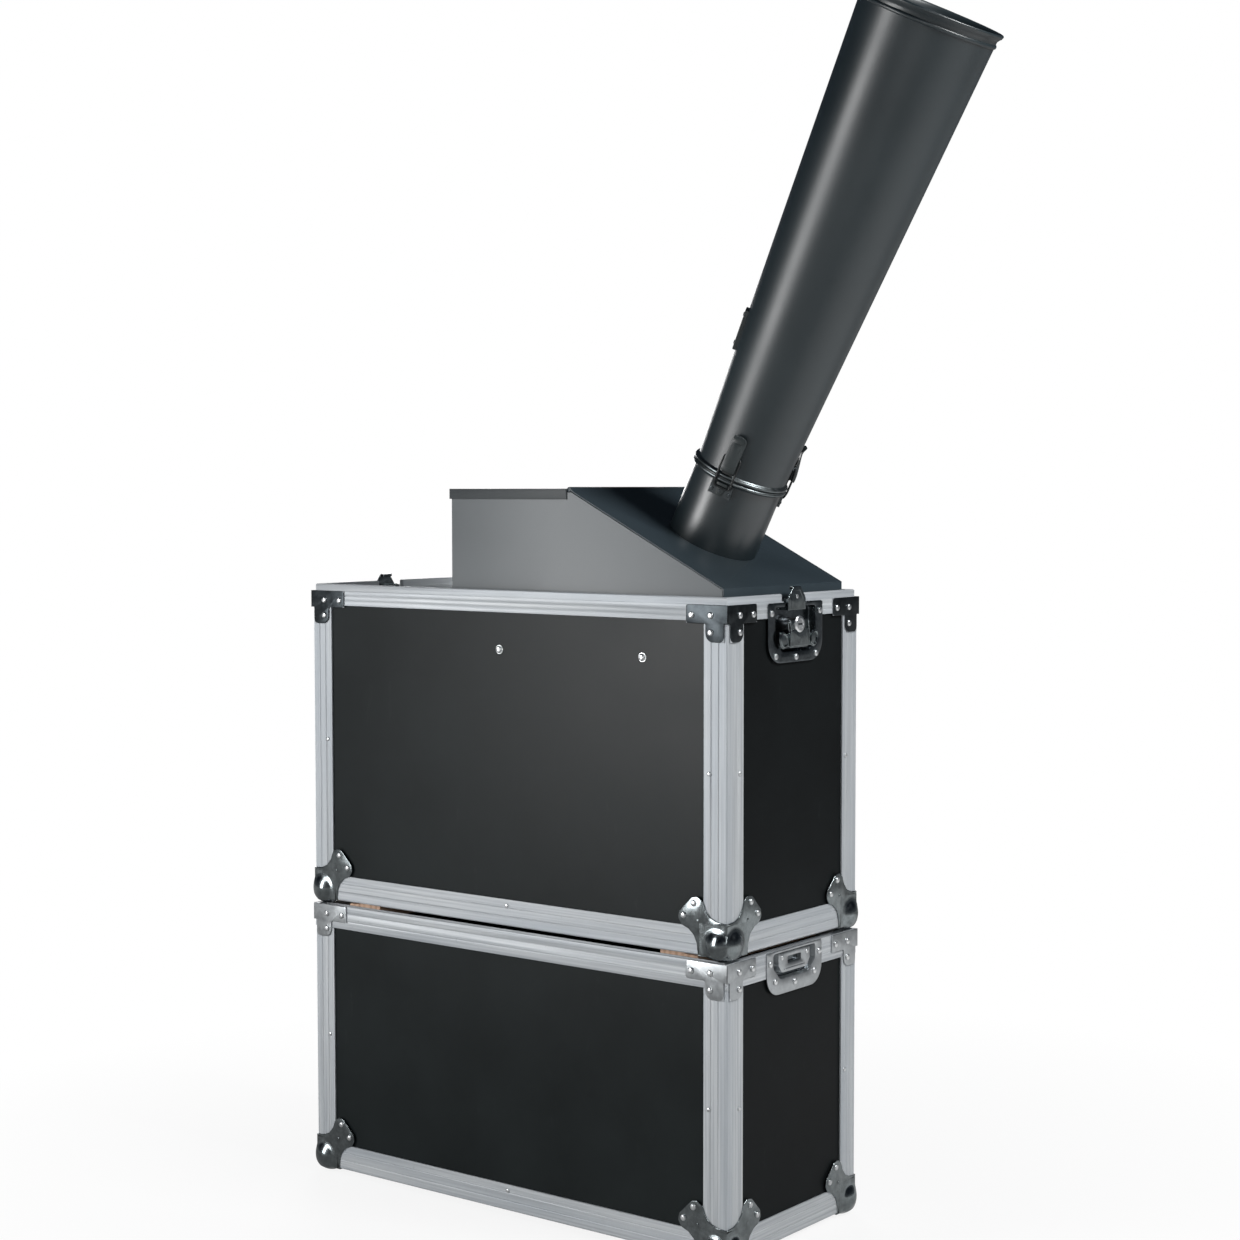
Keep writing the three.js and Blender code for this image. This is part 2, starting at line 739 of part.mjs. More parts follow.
function flightCase(prefix, height, rim) {
  const group = new THREE.Group();
  const add = (name, geometry, material) => group.add(named(`${prefix}_${name}`, geometry, material));
  const halfLength = caseLength / 2;
  const halfDepth = caseDepth / 2;
  const panelTop = height - rim.panelDrop;
  const sideBottom = panelInner + seatGap;
  const seats = quarters.map(([, x, y]) => toQuarter(cornerSeat(), x, y));
  const notch = rim.notch().translate(0, 0, height);

  const lengthwise = block(
    [panelOuter - halfLength, halfLength - panelOuter],
    [panelOuter - halfDepth, panelInner - halfDepth], [sideBottom, panelTop]);
  const front = rim.bolts.reduce((panel, x) => join(panel, domeOnFront(
    boltRadius, boltHeight, x, height - boltDrop, panelOuter - halfDepth)), lengthwise);
  add('panel_front', front, laminate);
  add('panel_back', mirrored(lengthwise, 1, -1), laminate);

  const crosswise = block(
    [halfLength - panelInner, halfLength - panelOuter],
    [panelInner + seatGap - halfDepth, halfDepth - panelInner - seatGap], [sideBottom, panelTop]);
  add('panel_right', cut(crosswise, ontoRightEnd(notch)), laminate);
  add('panel_left', cut(mirrored(crosswise, -1, 1), ontoLeftEnd(notch)), laminate);

  const floorX = halfLength - panelOuter;
  const floorY = halfDepth - panelOuter;
  const floor = upright(outline([
    [floorChamfer - floorX, -floorY], [floorX - floorChamfer, -floorY],
    [floorX, floorChamfer - floorY], [floorX, floorY - floorChamfer],
    [floorX - floorChamfer, floorY], [floorChamfer - floorX, floorY],
    [-floorX, floorY - floorChamfer], [-floorX, floorChamfer - floorY],
  ]), [panelOuter, panelInner]);
  add('panel_bottom', floor, laminate);

  const ring = rectangularFrame(rim.profile(), caseLength, caseDepth).translate(0, 0, height);
  const bracket = rimBracket(rim.bracketTop, rim.frameBottom).translate(0, 0, height);
  const brackets = quarters.map(([, x, y]) => toQuarter(bracket, x, y));
  add('rim_frame', cut(join(ring, ...brackets), ontoRightEnd(notch), ontoLeftEnd(notch)), aluminium);

  const floorRivet = domeOnFront(smallRivetRadius, smallRivetHeight, 0, rivetEdgeDistance, -halfDepth);
  const floorRing = rectangularFrame(floorFrameProfile(), caseLength, caseDepth);
  add('floor_frame', cut(join(floorRing, floorRivet, mirrored(floorRivet, 1, -1)), ...seats), aluminium);

  const angle = edgeAngle(edgeStart, height + rim.frameBottom - seatGap);
  const corner = ballCorner();
  quarters.forEach(([place, x, y]) => {
    add(`edge_${place}`, toQuarter(angle, x, y), aluminium);
    add(`corner_${place}`, toQuarter(corner, x, y), cornerSteel);
  });
  return group;
}

function stand() {
  const group = flightCase('stand', standHeight, {
    profile: standRimProfile,
    notch: rimNotches.stand,
    bolts: [],
    bracketTop: 0,
    frameBottom: -standRimHeight,
    panelDrop: tongueHeight + 2 * seatGap + webThickness,
  });
  const keeper = keeperDish().translate(0, 0, standHeight);
  group.add(named('keeper_dish_right', ontoRightEnd(keeper), cornerSteel));
  group.add(named('keeper_dish_left', ontoLeftEnd(keeper), cornerSteel));
  group.position.z = standBottom;
  return group;
}

// A mesh whose own origin is its turning axis or its place in the closed or stowed position.
function placed(mesh, x, y, z, turn = 0) {
  mesh.position.set(x, y, z);
  mesh.rotation.z = turn;
  return mesh;
}

function baseCase() {
  const group = flightCase('base', baseHeight, {
    profile: baseRimProfile,
    notch: rimNotches.base,
    bolts: boltPlaces,
    bracketTop: -tongueHeight,
    frameBottom: -tongueHeight - baseRimHeight,
    panelDrop: tongueHeight + seatGap + webThickness,
  });
  const dishes = latchDish().translate(0, 0, baseHeight);
  group.add(named('latch_dish_right', ontoRightEnd(dishes), cornerSteel));
  group.add(named('latch_dish_left', ontoLeftEnd(dishes), cornerSteel));
  const ends = [['right', caseLength / 2, Math.PI / 2], ['left', -caseLength / 2, -Math.PI / 2]];
  ends.forEach(([end, x, turn]) => {
    const wing = named(`latch_wing_${end}`, latchWing(), cornerSteel);
    group.add(placed(wing, x, 0, baseHeight - wingDrop, turn));
    const hook = named(`latch_hook_${end}`, latchHook(), cornerSteel);
    group.add(placed(hook, x, 0, baseHeight, turn));
  });
  const reach = caseDepth / 2 - wallDepth - 2 * seatGap;
  const wingReach = cornerSpan + seatGap;
  const relief = (side) => block(
    [-caseLength / 2, wingReach - caseLength / 2],
    [side * reach - wingReach, side * reach + wingReach], [-runnerRelief, 0]);
  const plank = block(
    [runnerInset - caseLength / 2, runnerInset + runnerWidth - caseLength / 2],
    [-reach, reach], [-seatGap - runnerDepth, -seatGap]);
  const runner = cut(plank, relief(-1), relief(1));
  group.add(named('runner_left', runner, timber));
  group.add(named('runner_right', mirrored(runner, -1, 1), timber));
  return group;
}

// Stub and barrel axis

const alongAxis = (geometry) => geometry.clone().rotateY(slopeAngle).translate(stubX, 0, stubZ);
const tubeInner = tubeRadius - tubeWall;
const spigotRadius = tubeInner - seatGap;

// Housing: a folded sheet box, open at the top, with a bulkhead under the ridge

const coverUnderside = (x) => slopeDrop(x) - (sheet + seatGap) / Math.cos(slopeAngle);

function housing() {
  const left = housingLeft;
  const inner = left + sheet;
  const depth = [-housingFront, housingFront];
  const shell = facing(outline([
    [left, housingFloor], [housingRight, housingFloor], [housingRight, coverUnderside(housingRight)],
    [ridgeX, coverUnderside(ridgeX)], [ridgeX - sheet, ridgeHeight],
    [left, ridgeHeight],
  ]), depth);
  const bulkhead = ridgeX - hingeSetback - knuckleRadius - seatGap;
  const room = [sheet - housingFront, housingFront - sheet];
  const floor = housingFloor + sheet;
  const hopperRoom = block([inner, bulkhead - sheet], room, [floor, ridgeHeight + overrun]);
  const fanRoom = facing(outline([
    [bulkhead, floor], [housingRight - sheet, floor],
    [housingRight - sheet, ridgeHeight + overrun], [bulkhead, ridgeHeight + overrun],
  ]), room);
  const passage = block(
    [inner, housingRight - sheet], room, [floor, bulkheadBottom]);
  const hingeGroove = block(
    [bulkhead - sheet - overrun, ridgeX + overrun], [-housingFront - overrun, housingFront + overrun],
    [hingeZ - knuckleRadius - seatGap, ridgeHeight + overrun]);
  const inletHalfWidth = inletWidth / 2 - inletBorder + seatGap;
  const inletHalfHeight = inletHeight / 2 - inletBorder + seatGap;
  const inlet = block(
    [left - overrun, inner + overrun],
    [inletCentreY - inletHalfWidth, inletCentreY + inletHalfWidth],
    [inletCentreZ - inletHalfHeight, inletCentreZ + inletHalfHeight]);
  const vents = Array.from({ length: ventSlots }, (unused, i) => block(
    [left - overrun, inner + overrun], [-ventLength / 2, ventLength / 2],
    [ventHeight + i * ventPitch, ventHeight + i * ventPitch + ventWidth]));
  return cut(shell, hopperRoom, fanRoom, passage, hingeGroove, inlet, ...vents);
}

// Slope cover with the hinge knuckles of the hopper lid and a hole for the outlet tube

const hingeSpan = housingFront * lidKnuckleShare;

function coverKnuckles() {
  const whole = alongY(rod(knuckleRadius, [-housingFront, housingFront], smallFacets));
  const middle = alongY(
    rod(knuckleRadius + seatGap, [-hingeSpan - seatGap, hingeSpan + seatGap], smallFacets));
  const pinReach = housingFront - overrun;
  const pin = alongY(rod(hingePinRadius, [-pinReach, pinReach], smallFacets));
  return join(cut(whole, middle), pin).translate(hingeX, 0, hingeZ);
}

// The catch that the bail's bar pulls up against, with the stub's axis as its Z axis.
function claspCatch() {
  const barHeight = stubLength + claspPivotHeight + bailPinAlong + bailPath.at(-1)[1];
  const hookBottom = barHeight + bailWire + bailSlack;
  const top = hookBottom + catchHookHeight;
  const bottom = top - catchHeight;
  const half = catchWidth / 2;
  const face = tubeRadius - tubeWall / 2;
  const plateOuter = tubeRadius + catchThickness;
  const plate = block([face - catchThickness, plateOuter], [-half, half], [bottom, top]);
  const hookHalf = catchHookWidth / 2;
  const hook = block(
    [face, tubeRadius + catchHookProud], [-hookHalf, hookHalf], [hookBottom, top]);
  const screws = [-1, 1].map((side) => dome(catchScrewRadius, catchScrewHeight)
    .rotateY(Math.PI / 2)
    .translate(plateOuter, (side * catchScrewSpacing) / 2, bottom + catchScrewRise));
  const inside = rod(face, [bottom - overrun, top + overrun], tubeFacets);
  return cut(join(plate, hook, ...screws), inside);
}

function slopeCover() {
  const rise = sheet / Math.cos(slopeAngle);
  const rollEnd = ridgeX + knuckleRadius;
  const shape = outline([
    [hingeX, hingeZ], [hingeX, hingeZ + knuckleRadius - seatGap],
    [ridgeX, ridgeHeight + knuckleRadius - hingeRise], [rollEnd, slopeDrop(rollEnd)],
    [slopeEndX, slopeDrop(slopeEndX)], [slopeEndX, slopeDrop(slopeEndX) - coverLip],
    [slopeEndX - sheet, slopeDrop(slopeEndX) - coverLip],
    [slopeEndX - sheet, slopeDrop(slopeEndX - sheet) - rise],
    [ridgeX, ridgeHeight - sheet + seatGap],
  ]);
  const plate = facing(shape, [-housingFront, housingFront]);
  const lidRoom = alongY(
    rod(knuckleRadius + seatGap, [-hingeSpan - seatGap, hingeSpan + seatGap], smallFacets))
    .translate(hingeX, 0, hingeZ);
  const bore = rod(tubeRadius + seatGap, [-stubRoot, stubRoot], tubeFacets);
  return join(cut(plate, lidRoom, alongAxis(bore)), coverKnuckles());
}

// The outlet tube, from the fan's mouth up through the slope cover to the spigot that the barrel
// sits on, with its flange, its ring, the three clasp catches and the opening under the spout
function outletTube() {
  const bottom = -ductEnd;
  const spigotInner = spigotRadius - tubeWall;
  const tube = turned([
    [tubeInner, bottom], [tubeRadius, bottom],
    [tubeRadius, stubLength - stubRingHeight],
    [tubeRadius + ringProud, stubLength - stubRingHeight / 2],
    [tubeRadius + ringProud, stubLength],
    [spigotRadius, stubLength], [spigotRadius, stubLength + stubSpigot],
    [spigotInner, stubLength + stubSpigot], [spigotInner, stubLength - stubRingHeight],
    [tubeInner, stubLength - 2 * stubRingHeight], [tubeInner, bottom],
  ], tubeFacets);
  const half = ductFlange / 2;
  const flange = cut(
    block([-half, half], [-half, half], [bottom, bottom + ductFlangeThickness]),
    rod(tubeInner, [bottom - overrun, bottom + ductFlangeThickness + overrun], tubeFacets));
  const catches = claspAzimuths.map((azimuth) => claspCatch().rotateZ(azimuth));
  return cut(alongAxis(join(tube, flange, ...catches)), spoutRoom(funnelSheet));
}

// Hopper lid, with its origin on the hinge axis and its closed shape around it

function hopperLid() {
  const left = housingLeft - lidOverhang;
  const right = hingeX;
  const half = housingFront + lidOverhang;
  const topEdge = lidTop - lidSheet;
  const lidEnd = right - knuckleRadius;
  const tray = cut(
    block([left, lidEnd], [-half, half], [lidTop - lidLip, lidTop]),
    block(
      [left + lidSheet, lidEnd + overrun], [lidSheet - half, half - lidSheet],
      [lidTop - lidLip - overrun, topEdge]));
  const tongue = block([lidEnd - overrun, right], [-hingeSpan, hingeSpan], [topEdge, lidTop]);
  const knuckle = alongY(rod(knuckleRadius, [-hingeSpan, hingeSpan], smallFacets))
    .translate(right, 0, hingeZ);
  const bore = alongY(rod(hingePinRadius + seatGap, [-half, half], smallFacets))
    .translate(right, 0, hingeZ);
  return cut(join(tray, tongue, knuckle), bore).translate(-right, 0, -hingeZ);
}

// Barrel, with its origin on the axis at the joint with the stub

function barrelProfile() {
  const wall = tubeWall;
  const growth = (barrelMouthRadius - tubeRadius) / barrelLength;
  const radiusAt = (height) => tubeRadius + growth * height;
  const beadTop = barrelLength - mouthBeadDrop;
  const beadMiddle = beadTop - mouthBeadHeight / 2;
  const beadBottom = beadTop - mouthBeadHeight;
  const flareStart = barrelLength - mouthFlareHeight;
  return [
    [tubeInner, seatGap], [tubeRadius, seatGap],
    [radiusAt(beadBottom), beadBottom], [radiusAt(beadMiddle) + mouthBeadProud, beadMiddle],
    [radiusAt(beadTop), beadTop], [radiusAt(flareStart), flareStart],
    [barrelMouthRadius + mouthFlare, barrelLength - wall / 2],
    [barrelMouthRadius + mouthFlare, barrelLength],
    [barrelMouthRadius + mouthFlare - wall, barrelLength],
    [radiusAt(flareStart) - wall, flareStart],
    [radiusAt(stubSpigot) - wall, stubSpigot], [tubeInner, seatGap],
  ];
}

// The barrel's outer radius at a distance up from its foot.
const wallRadiusAt = (height) =>
  tubeRadius + ((barrelMouthRadius - tubeRadius) * height) / barrelLength;

// A flat pad along the barrel's wall, between two distances out from its cone.
const conePad = (halfWidth, [z0, z1], [near, far]) => facing(outline([
  [wallRadiusAt(z0) + near, z0], [wallRadiusAt(z0) + far, z0],
  [wallRadiusAt(z1) + far, z1], [wallRadiusAt(z1) + near, z1],
]), [-halfWidth, halfWidth]);

// A clasp's base: a pad against the barrel, two ears and the lever's pin.
function claspBase() {
  const half = claspBaseWidth / 2;
  const plate = conePad(half, [seatGap, claspBaseTop], [seatGap, seatGap + claspBaseThickness]);
  const pivot = tubeRadius + claspPivotProud;
  const ears = [-1, 1].map((side) => {
    const edges = [side * half, side * (half - earThickness)].sort((a, b) => a - b);
    return facing(outline(earOutline), edges).translate(pivot, 0, claspPivotHeight);
  });
  const pin = rod(claspPinRadius, [-leverWidth / 2, leverWidth / 2], pinFacets).rotateX(Math.PI / 2)
    .translate(pivot, 0, claspPivotHeight);
  return join(plate, ...ears, pin);
}

// The ring round the barrel's foot, which carries the three clasp bases.
function barrelCollar() {
  const near = tubeRadius + seatGap;
  const ring = turned([
    [near, seatGap], [tubeRadius + ringProud, seatGap],
    [tubeRadius + ringProud, barrelRingStraight],
    [wallRadiusAt(barrelRingHeight) + claspBaseThickness, barrelRingHeight],
    [wallRadiusAt(barrelRingHeight) + seatGap, barrelRingHeight], [near, seatGap],
  ], tubeFacets);
  return join(ring, ...claspAzimuths.map((azimuth) => claspBase().rotateZ(azimuth)));
}

function stopPlate() {
  const span = [stopPlateHeight - stopPlateLength / 2, stopPlateHeight + stopPlateLength / 2];
  const tapered = span.map((z, i) => z + (i ? -1 : 1) * stopPlateThickness);
  const half = stopPlateWidth / 2;
  const root = -tubeWall / 2;
  const foot = conePad(half, span, [root, stopPlateThickness / 2]);
  const top = conePad(half, tapered, [root, stopPlateThickness]);
  return join(foot, top).rotateZ(stopPlateAzimuth);
}

const barrel = () => join(turned(barrelProfile(), tubeFacets), stopPlate());

// Toggle clasps: the lever's origin is its pin, and the bail's origin is its own pin

function claspLever() {
  const half = leverWidth / 2;
  const plate = facing(outline(leverPlateOutline), [-half, half]);
  const cheeks = [-1, 1].map((side) => {
    const edges = [side * half, side * (half - leverWall)].sort((a, b) => a - b);
    return facing(outline(leverCheekOutline), edges);
  });
  const hole = rod(claspPinRadius + seatGap, [-leverWidth, leverWidth], pinFacets).rotateX(Math.PI / 2);
  const bailHole = rod(bailWire + seatGap, [-leverWidth, leverWidth], pinFacets).rotateX(Math.PI / 2)
    .translate(-bailPinDrop, 0, bailPinAlong);
  return cut(join(plate, ...cheeks), hole, bailHole);
}

// A wire loop: a straight pin through the lever, two bent sides and the bar that the catch holds.
function claspBail() {
  const half = leverWidth / 2 + bailWire + seatGap;
  const side = (y) => facing(outline([
    ...bailPath.map(([x, z]) => [x - bailWire, z]),
    ...bailPath.slice().reverse().map(([x, z]) => [x + bailWire, z]),
  ]), [y - bailWire, y + bailWire]);
  const [endX, endZ] = bailPath.at(-1);
  const bar = rod(bailWire, [-half - bailWire, half + bailWire], pinFacets).rotateX(Math.PI / 2);
  return join(side(-half), side(half), bar, bar.clone().translate(endX, 0, endZ));
}

// Inside the housing

// The spout's vertical prism, less a wall of the given thickness on every side.
const spoutRoom = (wall) => block(
  [spoutRight - spoutLength + wall, spoutRight - wall],
  [wall - spoutDepth / 2, spoutDepth / 2 - wall], [0, funnelNeck + overrun]);

// A hopper room's funnel: a straight rim, a tapered middle and a spout that saddles on the duct.
function funnelBody(wall) {
  const top = {
    x: [housingLeft + sheet + seatGap + wall, hingeX - knuckleRadius - sheet - 2 * seatGap - wall],
    y: housingFront - sheet - seatGap - wall,
  };
  const neck = {
    x: [spoutRight - spoutLength + wall, spoutRight - wall], y: spoutDepth / 2 - wall,
  };
  const ring = ({ x: [x0, x1], y }, z) => [[x0, -y, z], [x1, -y, z], [x1, y, z], [x0, y, z]];
  const brim = funnelTop + (wall ? overrun : 0);
  const rings = [ring(neck, funnelNeck), ring(top, funnelShoulder), ring(top, brim)];
  const positions = rings.flat(2);
  const index = [];
  const sides = 4;
  for (let level = 0; level < rings.length - 1; level += 1) {
    for (let side = 0; side < sides; side += 1) {
      const a = level * sides + side;
      const b = level * sides + ((side + 1) % sides);
      index.push(a, b, b + sides, a, b + sides, a + sides);
    }
  }
  const last = (rings.length - 1) * sides;
  index.push(0, 2, 1, 0, 3, 2, last, last + 1, last + 2, last, last + 2, last + 3);
  const geometry = new THREE.BufferGeometry();
  geometry.setAttribute('position', new THREE.Float32BufferAttribute(positions, 3));
  geometry.setIndex(index);
  return geometry;
}

function funnel() {
  const outer = join(funnelBody(0), spoutRoom(0));
  const inner = join(funnelBody(funnelSheet), spoutRoom(funnelSheet));
  const ductRoom = alongAxis(rod(tubeRadius + seatGap, [-fanCentreAlong, 0], tubeFacets));
  const underDuct = alongAxis(block(
    [-tubeRadius, fanCentreAlong], [-tubeRadius, tubeRadius],
    [-2 * fanCentreAlong, -ductEnd + ductFlangeThickness + seatGap]));
  const rightOfDuct = alongAxis(block(
    [0, fanCentreAlong], [-tubeRadius, tubeRadius], [-2 * fanCentreAlong, 0]));
  const shaft = alongY(rod(agitatorShaftRadius + seatGap, [-housingFront, housingFront], smallFacets))
    .translate(agitatorX, 0, agitatorHeight);
  return cut(outer, inner, ductRoom, underDuct, rightOfDuct, shaft);
}

// Half the depth of the funnel's taper at a height.
const funnelHalfDepth = (z) => {
  const wide = housingFront - sheet - seatGap;
  const share = (z - funnelNeck) / (funnelShoulder - funnelNeck);
  return spoutDepth / 2 + (wide - spoutDepth / 2) * share;
};

const gearmotorFront = () => funnelHalfDepth(agitatorHeight + gearmotorHeight / 2) + seatGap;

// Agitator, turning about its shaft, which lies along Y
function agitator() {
  const wide = funnelHalfDepth(agitatorHeight + agitatorShaftRadius);
  const back = gearmotorFront() + shaftPocket;
  const shaft = alongY(rod(agitatorShaftRadius, [-back, wide], smallFacets));
  const half = agitatorPaddleLength / 2;
  const paddles = Array.from({ length: agitatorPaddles }, (unused, i) => block(
    [0, agitatorPaddleRadius], [-half, half], [-agitatorPaddleThickness / 2, agitatorPaddleThickness / 2],
  ).rotateY((2 * Math.PI * i) / agitatorPaddles));
  return join(shaft.scale(1, -1, 1), ...paddles);
}

function gearmotor() {
  const front = gearmotorFront();
  const body = block(
    [-gearmotorWidth / 2, gearmotorWidth / 2], [front, housingFront - sheet - seatGap],
    [-gearmotorHeight / 2, gearmotorHeight / 2]);
  const boss = alongY(rod(
    gearmotorBoss, [-front - gearmotorBossLength, -front + gearmotorBossLength], smallFacets))
    .scale(1, -1, 1);
  const pocket = alongY(rod(
    agitatorShaftRadius + seatGap, [-front - shaftPocket - seatGap, 0], smallFacets))
    .scale(1, -1, 1);
  return cut(join(body, boss), pocket).translate(agitatorX, 0, agitatorHeight);
}

// Fan, in the plane of the barrel's axis: across it is X and along it is Z

const fanFrame = (geometry) =>
  alongAxis(geometry.clone().translate(fanCentreAcross, 0, -fanCentreAlong));

function scrollOutline(offset) {
  const leftWall = -tubeRadius + offset - fanCentreAcross;
  const rightWall = tubeRadius - offset - fanCentreAcross;
  const neckTop = scrollNeckHeight - seatGap;
  const widest = -leftWall;
  const shape = new THREE.Shape();
  shape.moveTo(rightWall, neckTop + (offset ? overrun : 0));
  const turn = Math.PI + scrollTongueAngle;
  for (let i = 0; i <= scrollSteps; i += 1) {
    const share = i / scrollSteps;
    const radius = scrollTongueRadius + scrollWall - offset
      + (widest - scrollTongueRadius - scrollWall + offset) * share;
    const angle = scrollTongueAngle - turn * share;
    shape.lineTo(radius * Math.cos(angle), radius * Math.sin(angle));
  }
  shape.lineTo(leftWall, neckTop + (offset ? overrun : 0));
  return shape;
}

// The fan's scroll casing, standing on two feet, with its mouth under the duct's flange.
function fanCasing() {
  const half = scrollWidth / 2;
  const solid = facing(scrollOutline(0), [-half, half]);
  const room = facing(scrollOutline(scrollWall), [scrollWall - half, half - scrollWall]);
  const inlet = alongY(rod(fanInletRadius, [0, half + overrun], turnedFacets));
  const shaftHole = alongY(rod(fanShaftRadius + seatGap, [-half - overrun, 0], smallFacets));
  const centre = fanPlace();
  const feet = [-1, 1].map((side) => {
    const x = centre.x + (side * scrollTongueRadius) / 2;
    return block(
      [x - footWidth / 2, x + footWidth / 2], [-half, half],
      [housingFloor + sheet + seatGap, centre.z - scrollTongueRadius / 2]);
  });
  const inside = fanFrame(join(room, inlet, shaftHole));
  return cut(join(fanFrame(solid), ...feet), inside);
}

const fanPlace = () => new THREE.Vector3(fanCentreAcross, 0, -fanCentreAlong)
  .applyAxisAngle(new THREE.Vector3(0, 1, 0), slopeAngle)
  .add(new THREE.Vector3(stubX, 0, stubZ));

// Impeller, turning about Y: a back disc, curved blades, a front ring, a hub and its shaft
function impeller() {
  const half = impellerWidth / 2;
  const discBack = half - impellerDisc;
  const disc = alongY(rod(impellerRadius, [-half, -discBack], turnedFacets));
  const ring = alongY(turned([
    [impellerInnerRadius, discBack], [impellerRadius, discBack], [impellerRadius, half],
    [impellerInnerRadius, half], [impellerInnerRadius, discBack],
  ], turnedFacets));
  const blade = () => {
    const middle = (impellerInnerRadius + impellerRadius) / 2;
    const rim = impellerRadius - bladeThickness / 2;
    const eye = impellerInnerRadius + bladeThickness / 2;
    const at = (radius, angle, side) => [
      radius * Math.cos(angle) - (side * bladeThickness / 2) * Math.sin(angle),
      radius * Math.sin(angle) + (side * bladeThickness / 2) * Math.cos(angle),
    ];
    return facing(outline([
      at(eye, 0, -1), at(middle, bladeSweep / 4, -1), at(rim, bladeSweep, -1),
      at(rim, bladeSweep, 1), at(middle, bladeSweep / 4, 1), at(eye, 0, 1),
    ]), [-half + impellerDisc / 2, half - impellerDisc / 2]);
  };
  const blades = Array.from({ length: impellerBlades }, (unused, i) =>
    blade().rotateY((2 * Math.PI * i) / impellerBlades));
  const hub = alongY(rod(impellerHubRadius, [-half, 0], smallFacets));
  const shaftEnd = scrollWidth / 2 + seatGap + fanShaftPocket;
  const shaft = alongY(rod(fanShaftRadius, [-shaftEnd, 0], smallFacets));
  return join(disc, ring, hub, shaft, ...blades);
}

// Fan motor, on the scroll's back plate, with its cooling grooves
function fanMotor() {
  const front = scrollWidth / 2 + seatGap;
  const groove = motorLength / (2 * motorFins + 1);
  const flangeBack = front + motorFlangeThickness;
  const profile = [[0, front], [motorFlangeRadius, front], [motorFlangeRadius, flangeBack]];
  profile.push([motorRadius, flangeBack]);
  for (let i = 0; i < motorFins; i += 1) {
    const start = flangeBack + (2 * i + 1) * groove - groove / 2;
    profile.push([motorRadius, start], [motorRadius - motorFinDepth, start]);
    profile.push([motorRadius - motorFinDepth, start + groove], [motorRadius, start + groove]);
  }
  profile.push([motorRadius, front + motorLength], [0, front + motorLength]);
  const body = turned(profile, turnedFacets);
  const bore = rod(
    fanShaftRadius + seatGap, [front - overrun, front + fanShaftPocket + seatGap], smallFacets);
  return cut(body, bore).rotateX(-Math.PI / 2);
}

// Mains inlet with a recessed socket, three blades and the switch opening, facing -X

const inletSide = (geometry) =>
  geometry.clone().rotateZ(-Math.PI / 2).translate(housingLeft, inletCentreY, inletCentreZ);

const rockerMiddle = inletHeight / 2 - inletBorder * 2 - rockerHeight / 2;
const socketMiddle = -inletHeight / 2 + inletBorder * 2 + socketHeight / 2;

function mainsInlet() {
  const half = inletWidth / 2;
  const bodyHalf = half - inletBorder;
  const tall = inletHeight / 2;
  const plate = block([-half, half], [-inletPlate - seatGap, -seatGap], [-tall, tall]);
  const body = block(
    [-bodyHalf, bodyHalf], [-inletPlate, inletBodyDepth], [inletBorder - tall, tall - inletBorder]);
  const openingHalf = bodyHalf - inletBorder;
  const socket = block(
    [-openingHalf, openingHalf], [-inletPlate - overrun, socketDepth],
    [socketMiddle - socketHeight / 2, socketMiddle + socketHeight / 2]);
  const rockerReach = rockerHeight / 2 + rockerClearance;
  const rockerRoom = block(
    [-openingHalf, openingHalf], [-inletPlate - overrun, socketDepth],
    [rockerMiddle - rockerReach, rockerMiddle + rockerReach]);
  const [pinHeight, pinWidth, pinLength] = pinSize;
  const pinPlaces = [[-pinOffset, -pinSpacing], [pinOffset, 0], [-pinOffset, pinSpacing]];
  const pins = pinPlaces.map(([x, z]) => block(
    [x - pinWidth / 2, x + pinWidth / 2], [socketDepth - pinLength, socketDepth + inletBorder],
    [socketMiddle + z - pinHeight / 2, socketMiddle + z + pinHeight / 2]));
  return inletSide(join(cut(join(plate, body), socket, rockerRoom), ...pins));
}

// Rocker, turning about its own middle: two faces that meet at a shallow angle
function switchRocker() {
  const half = rockerHeight / 2 - seatGap;
  const side = inletWidth / 2 - 2 * inletBorder - rockerClearance;
  const lean = half * Math.tan(rockerTilt);
  const shape = outline([
    [-rockerDepth - lean, -half], [-rockerDepth, 0], [-rockerDepth - lean, half],
    [0, half], [rockerDepth, 0], [0, -half],
  ]);
  return upright(shape, [-side, side]).rotateX(Math.PI / 2).rotateY(rockerTilt);
}

// Assembly

function claspNodes(parent) {
  const letters = ['a', 'b', 'c'];
  claspAzimuths.forEach((azimuth, i) => {
    const spoke = new THREE.Group();
    spoke.rotation.z = azimuth;
    parent.add(spoke);
    const lever = named(`clasp_lever_${letters[i]}`, claspLever(), claspSteel);
    lever.position.set(tubeRadius + claspPivotProud, 0, claspPivotHeight);
    const bail = named(`clasp_bail_${letters[i]}`, claspBail(), claspSteel);
    bail.position.set(lever.position.x - bailPinDrop, 0, claspPivotHeight + bailPinAlong);
    spoke.add(lever, bail);
  });
}

